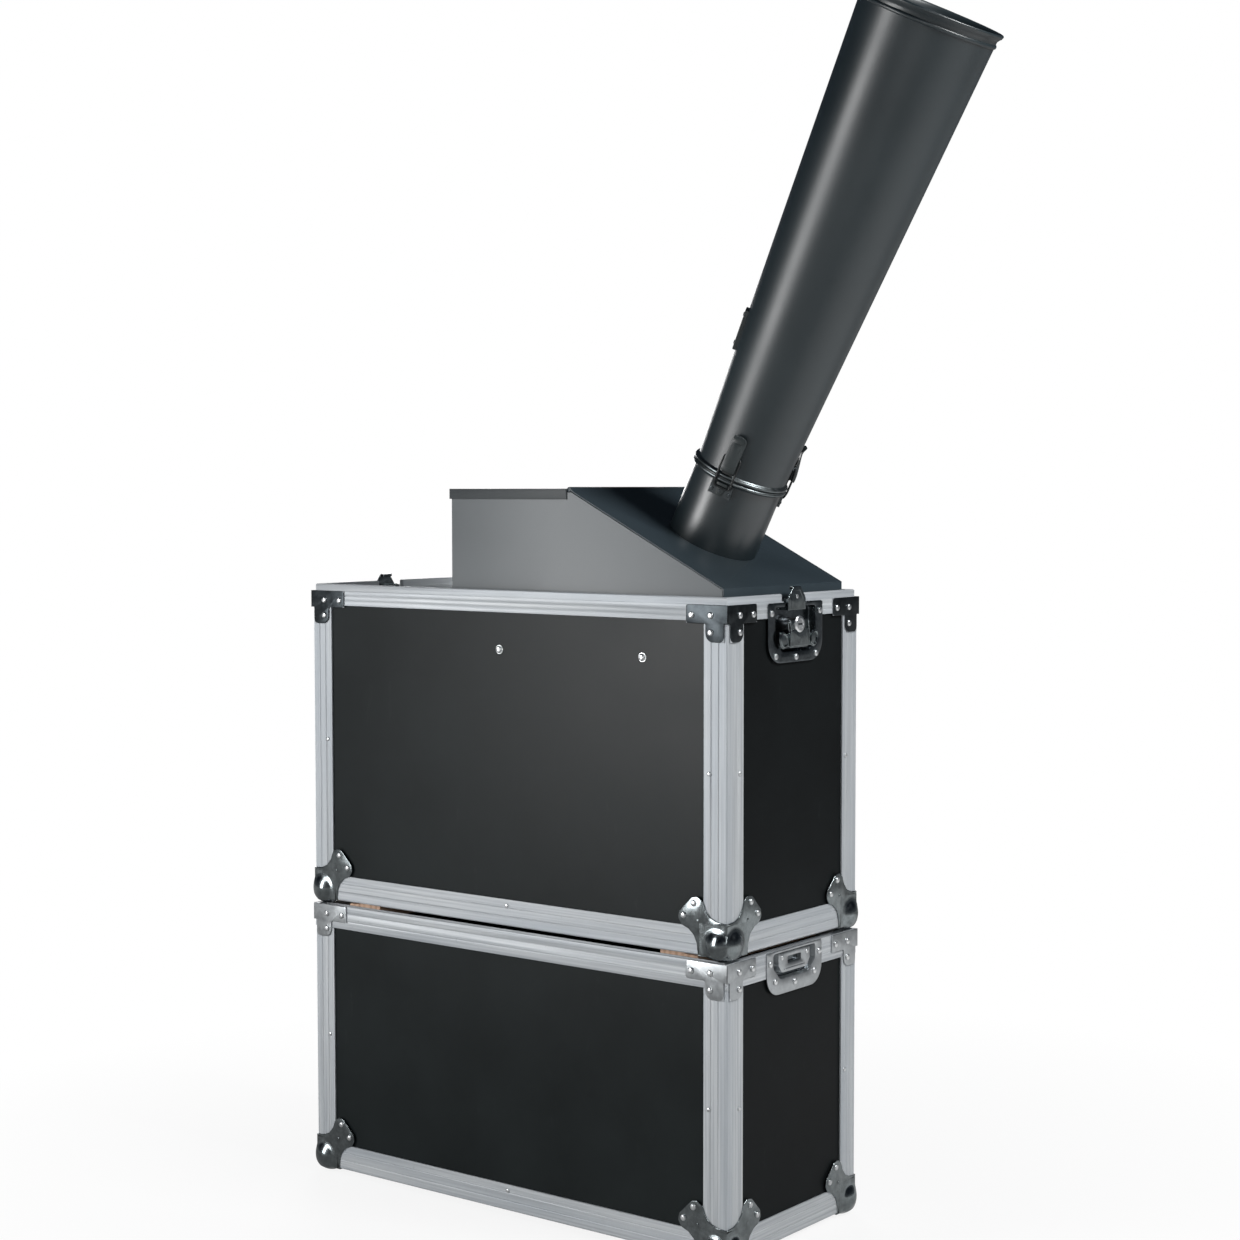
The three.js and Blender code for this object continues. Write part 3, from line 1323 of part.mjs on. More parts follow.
function machine() {
  const group = new THREE.Group();
  group.add(named('housing', housing(), housingPaint));
  group.add(named('slope_cover', slopeCover(), barrelPaint));
  group.add(named('outlet_tube', outletTube(), barrelPaint));
  group.add(placed(named('hopper_lid', hopperLid(), housingPaint), hingeX, 0, hingeZ));
  group.add(named('hopper_funnel', funnel(), galvanised));
  group.add(placed(named('agitator', agitator(), galvanised), agitatorX, 0, agitatorHeight));
  group.add(named('agitator_gearmotor', gearmotor(), castAluminium));
  group.add(named('fan_casing', fanCasing(), galvanised));
  group.add(named('mains_inlet', mainsInlet(), blackPlastic));

  const fan = new THREE.Group();
  fan.position.copy(fanPlace());
  fan.add(named('impeller', impeller(), galvanised));
  fan.add(named('fan_motor', fanMotor(), castAluminium));
  group.add(fan);

  const rocker = named('switch_rocker', switchRocker(), blackPlastic);
  const rockerX = housingLeft + socketDepth - rockerDepth - seatGap;
  group.add(placed(rocker, rockerX, inletCentreY, inletCentreZ + rockerMiddle));

  const axis = new THREE.Group();
  axis.position.set(stubX, 0, stubZ);
  axis.rotation.y = slopeAngle;
  const joint = new THREE.Group();
  joint.position.z = stubLength;
  joint.add(named('barrel', barrel(), barrelPaint));
  joint.add(named('barrel_collar', barrelCollar(), barrelPaint));
  claspNodes(joint);
  axis.add(joint);
  group.add(axis);
  return group;
}

// The origin lies under the middle of the whole outline, which reaches from the left latch's wing
// to the rim of the mouth.
const mouthX = stubX + (stubLength + barrelLength) * Math.sin(slopeAngle)
  + (barrelMouthRadius + mouthFlare) * Math.cos(slopeAngle);
const leftmost = -caseLength / 2 - seatGap - wingProud - wingThickness - wingGripHeight;

const blower = new THREE.Group();
const base = new THREE.Group();
base.add(baseCase(), machine());
base.position.z = baseBottom;
blower.add(stand(), base);
blower.position.x = -(mouthX + leftmost) / 2;

export default blower;
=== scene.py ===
"""Looks of the confetti blower in its flight case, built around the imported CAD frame."""
import json
from math import atan2, cos, hypot, pi, radians, sin, sqrt, tan

import bpy
from mathutils import Matrix, Vector


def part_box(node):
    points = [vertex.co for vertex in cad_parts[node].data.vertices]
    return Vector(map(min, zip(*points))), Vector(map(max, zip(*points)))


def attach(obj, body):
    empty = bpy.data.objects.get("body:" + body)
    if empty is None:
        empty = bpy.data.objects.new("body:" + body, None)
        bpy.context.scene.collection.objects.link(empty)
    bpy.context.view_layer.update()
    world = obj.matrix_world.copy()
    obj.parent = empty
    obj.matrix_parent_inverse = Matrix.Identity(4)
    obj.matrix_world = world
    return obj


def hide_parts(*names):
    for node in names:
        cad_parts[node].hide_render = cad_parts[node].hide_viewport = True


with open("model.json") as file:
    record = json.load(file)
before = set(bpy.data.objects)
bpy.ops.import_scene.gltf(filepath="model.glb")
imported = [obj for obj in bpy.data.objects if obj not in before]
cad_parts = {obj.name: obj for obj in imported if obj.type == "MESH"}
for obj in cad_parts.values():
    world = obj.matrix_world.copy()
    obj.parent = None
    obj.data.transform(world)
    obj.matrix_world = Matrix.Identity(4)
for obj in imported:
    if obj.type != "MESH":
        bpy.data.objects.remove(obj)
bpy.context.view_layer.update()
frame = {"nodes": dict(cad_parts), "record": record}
node_slots = {part["node"]: part["material_slot"] for part in frame["record"]["subparts"]}

# The scene is in metres; pieces are drawn in millimetres and scaled when they are built
MM = 0.001

# Sizes that repeat the CAD's, in millimetres
CASE_LENGTH, CASE_DEPTH = 606.0, 254.0
STAND_HEIGHT, BASE_HEIGHT = 320.0, 379.0
RIM_REACH, COVER_CLEARANCE = 10.9, 2.1
MACHINE_LENGTH, HOPPER_LENGTH, RIDGE_HEIGHT = 380.3, 175.5, 490.4
SEAT = 0.3
PLATE = 1.2
OUTER = -SEAT - PLATE
SLOPE = radians(26.6)
STUB_ALONG_SLOPE, STUB_LENGTH = 122.0, 83.0
TUBE_RADIUS, TUBE_WALL = 50.4, 1.6
BARREL_LENGTH, MOUTH_RADIUS = 530.0, 75.3
TAPER = atan2(MOUTH_RADIUS - TUBE_RADIUS, BARREL_LENGTH)
CLASP_AZIMUTHS = [radians(a) for a in (-72.5, 47.5, 167.5)]
CLASP_PIVOT = (55.3, 0.0, 12.5)
BAIL_PIN = (-1.4, 0.0, 12.0)
BAIL_REACH, BAIL_WIRE, BAIL_SLACK = 35.0, 1.2, 1.2
SIDE_PLATE_AZIMUTH, SIDE_PLATE_HEIGHT = radians(-147), 148.0

# Where the cases stand, read from the frame
low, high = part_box("base_panel_front")
CENTRE_X = (low.x + high.x) / 2 / MM
BASE_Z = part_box("base_floor_frame")[0].z / MM
STAND_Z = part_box("stand_floor_frame")[0].z / MM
RIDGE_X = CASE_LENGTH / 2 - RIM_REACH - COVER_CLEARANCE - MACHINE_LENGTH + HOPPER_LENGTH
STUB_X = RIDGE_X + STUB_ALONG_SLOPE * cos(SLOPE)
STUB_Z = RIDGE_HEIGHT - STUB_ALONG_SLOPE * sin(SLOPE)


def shift(x=0.0, y=0.0, z=0.0):
    return Matrix.Translation((x, y, z))


def turn(angle, axis):
    return Matrix.Rotation(angle, 4, axis)


def axes(x, y, z):
    """Carries X, Y and Z onto the named axes, each written like "Z" or "-Y"."""
    columns = []
    for name in (x, y, z):
        column = Vector([float(name[-1] == axis) for axis in "XYZ"])
        columns.append(-column if name[0] == "-" else column)
    return Matrix(columns).transposed().to_4x4()


# The stub's axis where it leaves the slope, and where the barrel sits on it
AXIS = shift(CENTRE_X + STUB_X, 0, BASE_Z + STUB_Z) @ turn(SLOPE, "Y")
JOINT = AXIS @ shift(z=STUB_LENGTH)
CLASP_FRAMES = [JOINT @ turn(azimuth, "Z") for azimuth in CLASP_AZIMUTHS]

# Drawing planes: on a case's front face, and on a plate that looks away from an axis
FRONT = axes("X", "Z", "-Y")
SPOKE = axes("Y", "Z", "X")


# ---- materials

def rgba(colour):
    """A written colour (0xRRGGBB) as linear light; a linear colour or a grey stays as it is."""
    if isinstance(colour, int):
        parts = [((colour >> bits) & 255) / 255 for bits in (16, 8, 0)]
        colour = [p / 12.92 if p <= 0.04045 else ((p + 0.055) / 1.055) ** 2.4 for p in parts]
    elif isinstance(colour, float):
        colour = (colour,) * 3
    return (*colour, 1.0)


class Graph:
    """A node tree being built; a value that is a socket is linked, any other is set."""

    def __init__(self, tree):
        self.tree = tree

    def node(self, kind, values=None, **settings):
        made = self.tree.nodes.new(kind)
        for key, value in settings.items():
            setattr(made, key, value)
        for key, value in (values or {}).items():
            if isinstance(value, bpy.types.NodeSocket):
                self.tree.links.new(value, made.inputs[key])
            else:
                made.inputs[key].default_value = value
        return made

    def ramp(self, factor, *stops):
        """A colour ramp; each stop is a position and a colour for rgba."""
        made = self.node("ShaderNodeValToRGB", {"Fac": factor})
        elements = made.color_ramp.elements
        while len(elements) < len(stops):
            elements.new(0.5)
        for element, (position, colour) in zip(elements, stops):
            element.position = position
            element.color = rgba(colour)
        return made.outputs["Color"]

    def mix(self, factor, first, second):
        values = {0: factor, 6: first, 7: second}
        return self.node("ShaderNodeMix", values, data_type="RGBA").outputs[2]

    def span(self, value, low, high, to_low=0.0, to_high=1.0):
        values = {"Value": value, "From Min": low, "From Max": high,
                  "To Min": to_low, "To Max": to_high}
        return self.node("ShaderNodeMapRange", values).outputs[0]

    def maths(self, operation, first, second=0.0):
        return self.node("ShaderNodeMath", {0: first, 1: second}, operation=operation).outputs[0]

    def blend(self, factor, first, second):
        return self.node("ShaderNodeMixShader", {0: factor, 1: first, 2: second}).outputs[0]


class Surface(Graph):
    """The nodes of one material, over object coordinates in metres."""

    def __init__(self, name, constants):
        self.material = bpy.data.materials.new(name)
        self.material.use_nodes = True
        super().__init__(self.material.node_tree)
        self.shader = self.tree.nodes["Principled BSDF"]
        for key, value in constants.items():
            self.shader.inputs[key].default_value = value
        self.place = self.node("ShaderNodeTexCoord").outputs["Object"]

    def stretched(self, scale):
        return self.node("ShaderNodeMapping", {"Vector": self.place, "Scale": scale}).outputs[0]

    def noise(self, scale, stretch=(1, 1, 1), detail=4.0, roughness=0.5):
        values = {"Vector": self.stretched(stretch), "Scale": scale,
                  "Detail": detail, "Roughness": roughness}
        return self.node("ShaderNodeTexNoise", values).outputs["Fac"]

    def bump(self, height, distance, strength, under=None):
        values = {"Height": height, "Distance": distance, "Strength": strength}
        if under is not None:
            values["Normal"] = under
        return self.node("ShaderNodeBump", values).outputs[0]

    def finish(self, colour, roughness, normal):
        sockets = {"Base Color": colour, "Roughness": roughness, "Normal": normal}
        for key, socket in sockets.items():
            self.tree.links.new(socket, self.shader.inputs[key])
        return self.material


def facing_x(graph):
    """1 on faces that look along X, else 0."""
    normal = graph.node("ShaderNodeNewGeometry").outputs["True Normal"]
    x = graph.node("ShaderNodeSeparateXYZ", {0: normal}).outputs[0]
    return graph.maths("GREATER_THAN", graph.maths("ABSOLUTE", x), 0.7)


def aluminium(name, upright):
    """Satin extrusion with drawing lines along its length, which is Z or round the case."""
    graph = Surface(name, {"Metallic": 0.35})
    end = None if upright else facing_x(graph)

    def drawn(scale, squeeze, detail):
        if upright:
            return graph.noise(scale, (1, 1, squeeze), detail)
        along_x = graph.noise(scale, (squeeze, 1, 1), detail)
        along_y = graph.noise(scale, (1, squeeze, 1), detail)
        return graph.mix(end, along_x, along_y)

    lines = drawn(420, 0.012, 3)
    broad = drawn(40, 0.06, 2)
    blotch = graph.noise(9, detail=5)
    scuff = graph.ramp(graph.noise(160, detail=6, roughness=0.7), (0.30, 1.0), (0.36, 0.0))
    colour = graph.ramp(lines, (0.3, 0xA6AAAE), (0.5, 0xB9BDC0), (0.72, 0xC8CBCD))
    colour = graph.mix(graph.span(broad, 0.4, 0.65, 0.0, 0.55), colour, rgba(0xA2A9B0))
    colour = graph.mix(graph.maths("MULTIPLY", scuff, 0.3), colour, rgba(0x8E9296))
    rough = graph.maths("ADD", graph.span(blotch, 0.3, 0.7, 0.46, 0.54),
                        graph.span(lines, 0.3, 0.7, 0.0, 0.06))
    return graph.finish(colour, rough, graph.bump(lines, 0.00003, 0.4))


def laminate(name, dark, light, gloss):
    """Charcoal phenolic laminate with a fine pebble and faint handling marks."""
    graph = Surface(name, {"Specular IOR Level": gloss})
    pebble = graph.noise(950, detail=2)
    cloud = graph.noise(7, detail=5, roughness=0.6)
    rub = graph.ramp(graph.noise(60, (1, 1, 0.25), 6, 0.75), (0.62, 0.0), (0.75, 1.0))
    colour = graph.ramp(cloud, (0.3, dark), (0.7, light))
    colour = graph.mix(graph.maths("MULTIPLY", rub, 0.18), colour, rgba(0x3A3E3E))
    rough = graph.maths("ADD", graph.span(cloud, 0.3, 0.7, 0.32, 0.38),
                        graph.maths("MULTIPLY", rub, 0.06))
    return graph.finish(colour, rough, graph.bump(pebble, 0.00008, 0.35))


def plated(name, dark, light, rough):
    """Bright plated pressed steel, a little wavy, with a thin film of handling."""
    graph = Surface(name, {"Metallic": 1.0})
    wave = graph.noise(55, detail=2)
    film = graph.noise(120, detail=6, roughness=0.65)
    colour = graph.ramp(film, (0.3, dark), (0.7, light))
    roughness = graph.span(film, 0.3, 0.75, rough, rough + 0.12)
    grit = graph.bump(graph.noise(1500, detail=2), 0.00003, 0.25)
    return graph.finish(colour, roughness, graph.bump(wave, 0.0006, 0.35, grit))


def coated(name, dark, light, rough, wear=0.25, gloss=0.5):
    """Satin powder coat: fine orange peel, slow shade changes and small worn specks."""
    graph = Surface(name, {"Specular IOR Level": gloss})
    peel = graph.noise(1300, detail=2)
    cloud = graph.noise(6, detail=4)
    speck = graph.ramp(graph.noise(420, detail=4, roughness=0.7), (0.70, 0.0), (0.78, 1.0))
    colour = graph.ramp(cloud, (0.25, dark), (0.75, light))
    colour = graph.mix(graph.maths("MULTIPLY", speck, wear), colour, rgba(0x6A6E70))
    roughness = graph.span(cloud, 0.3, 0.7, rough, rough + 0.07)
    slow = graph.bump(graph.noise(28, detail=1), 0.0008, 0.10)
    return graph.finish(colour, roughness, graph.bump(peel, 0.00006, 0.35, slow))


def timber():
    """Pale planed wood with its grain along Y."""
    graph = Surface("planed_timber", {"Specular IOR Level": 0.3})
    grain = graph.noise(90, (1, 0.05, 1), 6, 0.6)
    waves = {"Vector": graph.stretched((1, 0.08, 1)), "Scale": 38.0,
             "Distortion": 5.0, "Detail": 3.0}
    ring = graph.node("ShaderNodeTexWave", waves).outputs["Fac"]
    figure = graph.maths("ADD", graph.maths("MULTIPLY", grain, 0.7),
                         graph.maths("MULTIPLY", ring, 0.3))
    colour = graph.ramp(figure, (0.25, 0xBA947A), (0.5, 0xDAB69C), (0.8, 0xE8C8AE))
    rough = graph.span(grain, 0.3, 0.7, 0.55, 0.75)
    return graph.finish(colour, rough, graph.bump(grain, 0.0002, 0.5))


def galvanised():
    """Sheet with the patches of zinc crystals."""
    graph = Surface("galvanised_sheet", {"Metallic": 0.9})
    values = {"Vector": graph.place, "Scale": 110.0}
    cells = graph.node("ShaderNodeTexVoronoi", values).outputs["Color"]
    bright = graph.node("ShaderNodeSeparateColor", {0: cells}).outputs[0]
    fine = graph.noise(600, detail=3)
    colour = graph.ramp(bright, (0.0, 0x8C9294), (0.5, 0xA0A6A8), (1.0, 0xB6BBBC))
    rough = graph.maths("ADD", graph.span(bright, 0.0, 1.0, 0.36, 0.5),
                        graph.span(fine, 0.3, 0.7, 0.0, 0.06))
    return graph.finish(colour, rough, graph.bump(fine, 0.00008, 0.4))


def cast():
    """Sand-cast aluminium."""
    graph = Surface("cast_aluminium", {"Metallic": 0.85})
    sand = graph.noise(420, detail=5, roughness=0.65)
    colour = graph.ramp(graph.noise(20, detail=3), (0.3, 0x7E8284), (0.7, 0x9A9E9F))
    rough = graph.span(sand, 0.3, 0.7, 0.45, 0.62)
    return graph.finish(colour, rough, graph.bump(sand, 0.0003, 0.5))


def plastic():
    """Black moulded plastic with a fine etch."""
    graph = Surface("moulded_plastic", {"Specular IOR Level": 0.5})
    etch = graph.noise(1800, detail=2)
    cloud = graph.noise(30, detail=3)
    colour = graph.ramp(cloud, (0.3, 0x121315), (0.7, 0x1B1D1F))
    rough = graph.span(cloud, 0.3, 0.7, 0.38, 0.5)
    return graph.finish(colour, rough, graph.bump(etch, 0.00005, 0.4))


ALUMINIUM_UPRIGHT = aluminium("satin_aluminium_upright", upright=True)
ALUMINIUM_RAILS = aluminium("satin_aluminium_rails", upright=False)
LAMINATE = laminate("charcoal_laminate", 0x131819, 0x191F20, 0.18)
# The end panels wear a darker, duller copy of the same laminate: painted shade on the ends.
END_LAMINATE_PAINTED_SHADE = laminate("charcoal_laminate_ends_painted_shade", 0x111314, 0x16191A, 0.05)
STEEL = plated("plated_steel", 0x6E7476, 0x8F9698, 0.13)
# Dark plated steel, which also serves as painted shade in the pans, the slots and the catches'
# holes.
DARK_STEEL_AND_SHADE = plated("plated_steel_dark_and_painted_shade", 0x4A4F53, 0x6A7074, 0.16)
# A lighter copy of the plated steel for the stand's brackets and keepers: painted reflection of
# the bright floor they face low down.
STAND_STEEL_PAINTED_LIGHT = plated("plated_steel_painted_light", 0xA0A4A7, 0xBCC0C2, 0.30)
# A near-black copy of the plated steel for the base's brackets: painted shade standing for the
# dark room they reflect.
BASE_STEEL_PAINTED_SHADE = plated("plated_steel_painted_shade", 0x2E3235, 0x464B4E, 0.28)
RIVET = plated("rivet_steel", 0xCDD0D2, 0xE8EAEB, 0.27)
HOUSING = coated("housing_powder_coat", 0x6B6F71, 0x75797B, 0.42)
# The hopper lid wears a darker, less glossy copy of the housing's coat: painted shade that dulls
# the sheen its lip catches.
LID_PAINTED_SHADE = coated("lid_powder_coat_painted_shade", 0x3F4345, 0x484C4E, 0.42, gloss=0.3)
# The slope cover wears a much darker, bluish copy of the housing's powder coat: painted shade on a
# slope the lamps barely reach.
SLOPE_PAINTED_SHADE = coated("slope_powder_coat_painted_shade", 0x2C353A, 0x353F45, 0.30, gloss=0.3)
BARREL = coated("barrel_paint", 0x1A2327, 0x242E32, 0.34, gloss=0.75)
STUB_PAINT = coated("stub_paint", 0x1A2327, 0x242E32, 0.29, gloss=0.9)
RING_STEEL = plated("joint_ring_steel", 0x626869, 0x7E8486, 0.3)
CLASP = coated("clasp_grey", 0x272C2D, 0x333A3B, 0.32, wear=0.6)
WIRE = coated("clasp_wire_black", 0x121516, 0x1C2021, 0.34, wear=0.6)

# What the CAD's solids wear, by slot, and where a node's name says more than its slot; the slope
# cover and hopper lid wear darker copies of the housing's coat, painted shade
SLOT_FINISHES = {
    "laminate_panel": LAMINATE, "aluminium_profile": ALUMINIUM_RAILS, "corner_steel": STEEL,
    "housing_paint": HOUSING, "barrel_paint": BARREL, "clasp_steel": CLASP, "timber": timber(),
    "galvanised_sheet": galvanised(), "cast_aluminium": cast(), "black_plastic": plastic(),
}
NODE_FINISHES = {"slope_cover": SLOPE_PAINTED_SHADE, "hopper_lid": LID_PAINTED_SHADE}


def finish_of(node):
    """The material of a node that shows as the CAD has it."""
    slot = node_slots[node]
    # End panels take the darker copy of the laminate, which is painted shade.
    if slot == "laminate_panel" and node.endswith(("_left", "_right")):
        return END_LAMINATE_PAINTED_SHADE
    if slot == "aluminium_profile" and "_edge_" in node:
        return ALUMINIUM_UPRIGHT
    return NODE_FINISHES.get(node, SLOT_FINISHES[slot])


# ---- carried-over nodes

SMOOTH_BELOW, BEVEL_ABOVE = radians(32), radians(40)


def soft_edges():
    """A modifier group that drops the stored normals and shades smooth up to a fold."""
    group = bpy.data.node_groups.new("smooth_to_fold", "GeometryNodeTree")
    for way in ("INPUT", "OUTPUT"):
        group.interface.new_socket("Geometry", in_out=way, socket_type="NodeSocketGeometry")
    graph = Graph(group)
    start = graph.node("NodeGroupInput").outputs[0]
    bare = graph.node("GeometryNodeRemoveAttribute", {0: start, "Name": "custom_normal"})
    faces = graph.node("GeometryNodeSetShadeSmooth", {0: bare.outputs[0]}, domain="FACE")
    angle = graph.node("GeometryNodeInputMeshEdgeAngle").outputs["Unsigned Angle"]
    below = graph.node("FunctionNodeCompare", {0: angle, 1: SMOOTH_BELOW}, operation="LESS_THAN")
    values = {0: faces.outputs[0], "Shade Smooth": below.outputs[0]}
    edges = graph.node("GeometryNodeSetShadeSmooth", values, domain="EDGE")
    graph.node("NodeGroupOutput", {0: edges.outputs[0]})
    return group


SMOOTH = soft_edges()

# Rounded edges in millimetres; a gearmotor edge wider than this would fill its shaft pocket
EDGE_WIDTHS = {
    "housing": 1.0, "hopper_lid": 0.9, "slope_cover": 0.9, "runner_left": 1.2,
    "runner_right": 1.2, "mains_inlet": 0.5, "switch_rocker": 0.5, "agitator_gearmotor": 0.25,
    "fan_motor": 0.8, "stand_rim_frame": 0.25, "base_rim_frame": 0.25, "agitator": 0.4,
}

for name, node in frame["nodes"].items():
    node.data.materials.clear()
    node.data.materials.append(finish_of(name))
    node.modifiers.new("weld", "WELD").merge_threshold = 0.02 * MM
    if name in EDGE_WIDTHS:
        bevel = node.modifiers.new("edges", "BEVEL")
        bevel.width = EDGE_WIDTHS[name] * MM
        bevel.segments = 2
        bevel.limit_method = "ANGLE"
        bevel.angle_limit = BEVEL_ABOVE
    node.modifiers.new("smooth", "NODES").node_group = SMOOTH


# ---- outlines

def sides_of(outline):
    return list(zip(outline, outline[1:] + outline[:1]))


def anticlockwise(outline):
    return sum(a[0] * b[1] - b[0] * a[1] for a, b in sides_of(outline)) > 0


def rounded(points, steps=5):
    """A closed outline whose corners (x, y, radius) become arcs; a plain (x, y) stays sharp."""
    result = []
    for i, (x, y, *rest) in enumerate(points):
        if not rest:
            result.append((x, y))
            continue
        here = Vector((x, y))
        before = Vector(points[i - 1][:2]) - here
        after = Vector(points[(i + 1) % len(points)][:2]) - here
        half = before.angle(after) / 2
        reach = min(rest[0] / tan(half), before.length * 0.49, after.length * 0.49)
        before.normalize()
        after.normalize()
        centre = here + (before + after).normalized() * (reach / cos(half))
        a, b = here + before * reach - centre, here + after * reach - centre
        sweep = a.angle_signed(b) if a.length and b.length else 0.0
        for k in range(steps + 1):
            angle = -sweep * k / steps
            result.append((centre.x + a.x * cos(angle) - a.y * sin(angle),
                           centre.y + a.x * sin(angle) + a.y * cos(angle)))
    return result


def both_halves(right):
    """Corners of an outline whose right half is given from the bottom up, from bottom left on."""
    left = [(-x, *rest) for x, *rest in reversed(right)]
    return left[-1:] + right + left[:-1]


def oblong(half, low, high, radius, high_radius=None, steps=4):
    """A rounded rectangle about X = 0, with its own radius at the high end if need be."""
    return rounded(both_halves([(half, low, radius), (half, high, high_radius or radius)]), steps)


def inset(outline, distance):
    """The outline moved inwards a little, along the mean of the sides at each point."""
    sign = 1 if anticlockwise(outline) else -1
    result = []
    for i, (x, y) in enumerate(outline):
        before = Vector((x, y)) - Vector(outline[i - 1])
        after = Vector(outline[(i + 1) % len(outline)]) - Vector((x, y))
        if before.length < 1e-9 or after.length < 1e-9:
            before = after = before if before.length > after.length else after
        n1 = Vector((-before.y, before.x)).normalized() * sign
        n2 = Vector((-after.y, after.x)).normalized() * sign
        mean = n1 + n2
        if mean.length < 1e-6:
            mean = n1
        mean.normalize()
        step = distance / max(0.5, mean.dot(n1))
        result.append((x + mean.x * step, y + mean.y * step))
    return result


def polar(outline, centre, count):
    """The outline met by evenly spread rays, so that rings of two outlines match."""
    cx, cy = centre
    result = []
    for dx, dy in around(count):
        best = 0.0
        for (ax, ay), (bx, by) in sides_of(outline):
            ex, ey = bx - ax, by - ay
            det = ex * dy - ey * dx
            if abs(det) < 1e-12:
                continue
            along_ray = (ex * (ay - cy) - ey * (ax - cx)) / det
            along_side = (dx * (ay - cy) - dy * (ax - cx)) / det
            if -1e-9 <= along_side <= 1 + 1e-9:
                best = max(best, along_ray)
        result.append((cx + dx * best, cy + dy * best))
    return result


def around(count):
    """Cosine and sine of evenly spread angles."""
    return [(cos(2 * pi * k / count), sin(2 * pi * k / count)) for k in range(count)]


def arc_points(centre, radius, start, stop, steps):
    """Points on an arc between two angles in degrees."""
    angles = (radians(start + (stop - start) * k / steps) for k in range(steps + 1))
    return [(centre[0] + radius * cos(a), centre[1] + radius * sin(a)) for a in angles]


# ---- mesh building

# Which of a piece's materials a face wears: its own, its fasteners' or the dark one painted as
# shade in hollows and slots
MAIN, FASTENER, PAINTED_SHADE_KIND = 0, 1, 2


class Shape:
    """Collects closed shells in millimetres and becomes one object in the row frame."""

    def __init__(self):
        self.points, self.faces, self.kinds = [], [], []

    def add(self, points, faces, matrix, kind=MAIN):
        start = len(self.points)
        flipped = matrix.determinant() < 0
        self.points += [matrix @ Vector(p) for p in points]
        for face in faces:
            face = [start + i for i in face]
            self.faces.append(face[::-1] if flipped else face)
            self.kinds.append(kind)

    def loft(self, rings, matrix, kind=MAIN, caps=True, closed=False):
        """Rings of equal length, joined one to the next; closed joins the last to the first."""
        count = len(rings[0])
        faces = []
        for level in range(len(rings) if closed else len(rings) - 1):
            a, b = level * count, ((level + 1) % len(rings)) * count
            faces += [[a + i, a + (i + 1) % count, b + (i + 1) % count, b + i]
                      for i in range(count)]
        if caps:
            faces.append(list(range(count))[::-1])
            faces.append([(len(rings) - 1) * count + i for i in range(count)])
        self.add([p for ring in rings for p in ring], faces, matrix, kind)

    def stepped(self, levels, centre, count, matrix, closed=False):
        """Levels of (outline, inset, height), joined along rays from one centre."""
        rings = [[(x, y, z) for x, y in polar(inset(outline, into), centre, count)]
                 for outline, into, z in levels]
        self.loft(rings, matrix, caps=False, closed=closed)

    def lathe(self, profile, matrix, segments, kind=MAIN):
        """A closed profile of (radius, height), run anticlockwise and turned about Z."""
        points, faces = [], []
        count = len(profile)
        for i, (x, y) in enumerate(around(segments)):
            points += [(r * x, r * y, z) for r, z in profile]
            a, b = i * count, ((i + 1) % segments) * count
            for k in range(count):
                n = (k + 1) % count
                if profile[k][0] or profile[n][0]:
                    faces.append([a + k, b + k, b + n, a + n])
        self.add(points, faces, matrix, kind)

    def slab(self, outline, bottom, top, edge, matrix, kind=MAIN, both=False, steps=3):
        """A flat plate in X and Y between two heights, its top edge rounded, or both edges."""
        if not anticlockwise(outline):
            outline = outline[::-1]
        turns = [pi / 2 * k / steps for k in range(steps + 1)]
        rise = [(edge * sin(t), edge * (1 - cos(t))) for t in turns]
        levels = [(bottom, 0.0)]
        if both:
            levels = [(bottom + edge - up, into) for up, into in reversed(rise)]
        levels += [(top - edge + up, into) for up, into in rise]
        rings = [[(x, y, z) for x, y in inset(outline, into)] for z, into in levels]
        self.loft(rings, matrix, kind)

    def rivet(self, radius, height, matrix, kind=FASTENER, segments=20):
        """A pan head: flat on top, rounded to its rim, and let into its plate a little."""
        root, steps = -0.3, 6
        profile = [(0.0, root), (radius, root)]
        for k in range(steps):
            t = pi / 2 * k / steps
            profile.append((radius * cos(t) ** 0.6, height * sin(t) ** 0.7))
        self.lathe(profile + [(0.0, height)], matrix, segments, kind)

    def wire(self, path, radius, matrix, segments=10, closed=True):
        """A round wire along points in space."""
        rings = []
        last = len(path) - 1
        side = Vector((0, 0, 1))
        for i, point in enumerate(path):
            before, after = i - 1, (i + 1) % len(path)
            if not closed:
                before, after = max(before, 0), min(i + 1, last)
            ahead = (Vector(path[after]) - Vector(path[before])).normalized()
            side = side - ahead * side.dot(ahead)
            if side.length < 1e-3:
                side = ahead.orthogonal()
            side.normalize()
            other = ahead.cross(side)
            rings.append([Vector(point) + (side * x + other * y) * radius
                          for x, y in around(segments)])
        self.loft(rings, matrix, caps=not closed, closed=closed)

    def build(self, name, body, materials, nodes=(), smooth=35):
        """Makes the piece; edges sharper than smooth, in degrees, stay sharp."""
        mesh = bpy.data.meshes.new(name)
        mesh.from_pydata([tuple(p * MM) for p in self.points], [], self.faces)
        for material in materials:
            mesh.materials.append(material)
        mesh.polygons.foreach_set("material_index", self.kinds)
        mesh.validate()
        mesh.shade_smooth()
        mesh.set_sharp_from_angle(angle=radians(smooth))
        mesh.update()
        piece = placed(name, mesh)
        piece.modifiers.new("weld", "WELD").merge_threshold = 0.004 * MM
        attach(piece, body)
        if nodes:
            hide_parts(*nodes)


def placed(name, data):
    """A new object in the scene."""
    made = bpy.data.objects.new(name, data)
    bpy.context.scene.collection.objects.link(made)
    return made


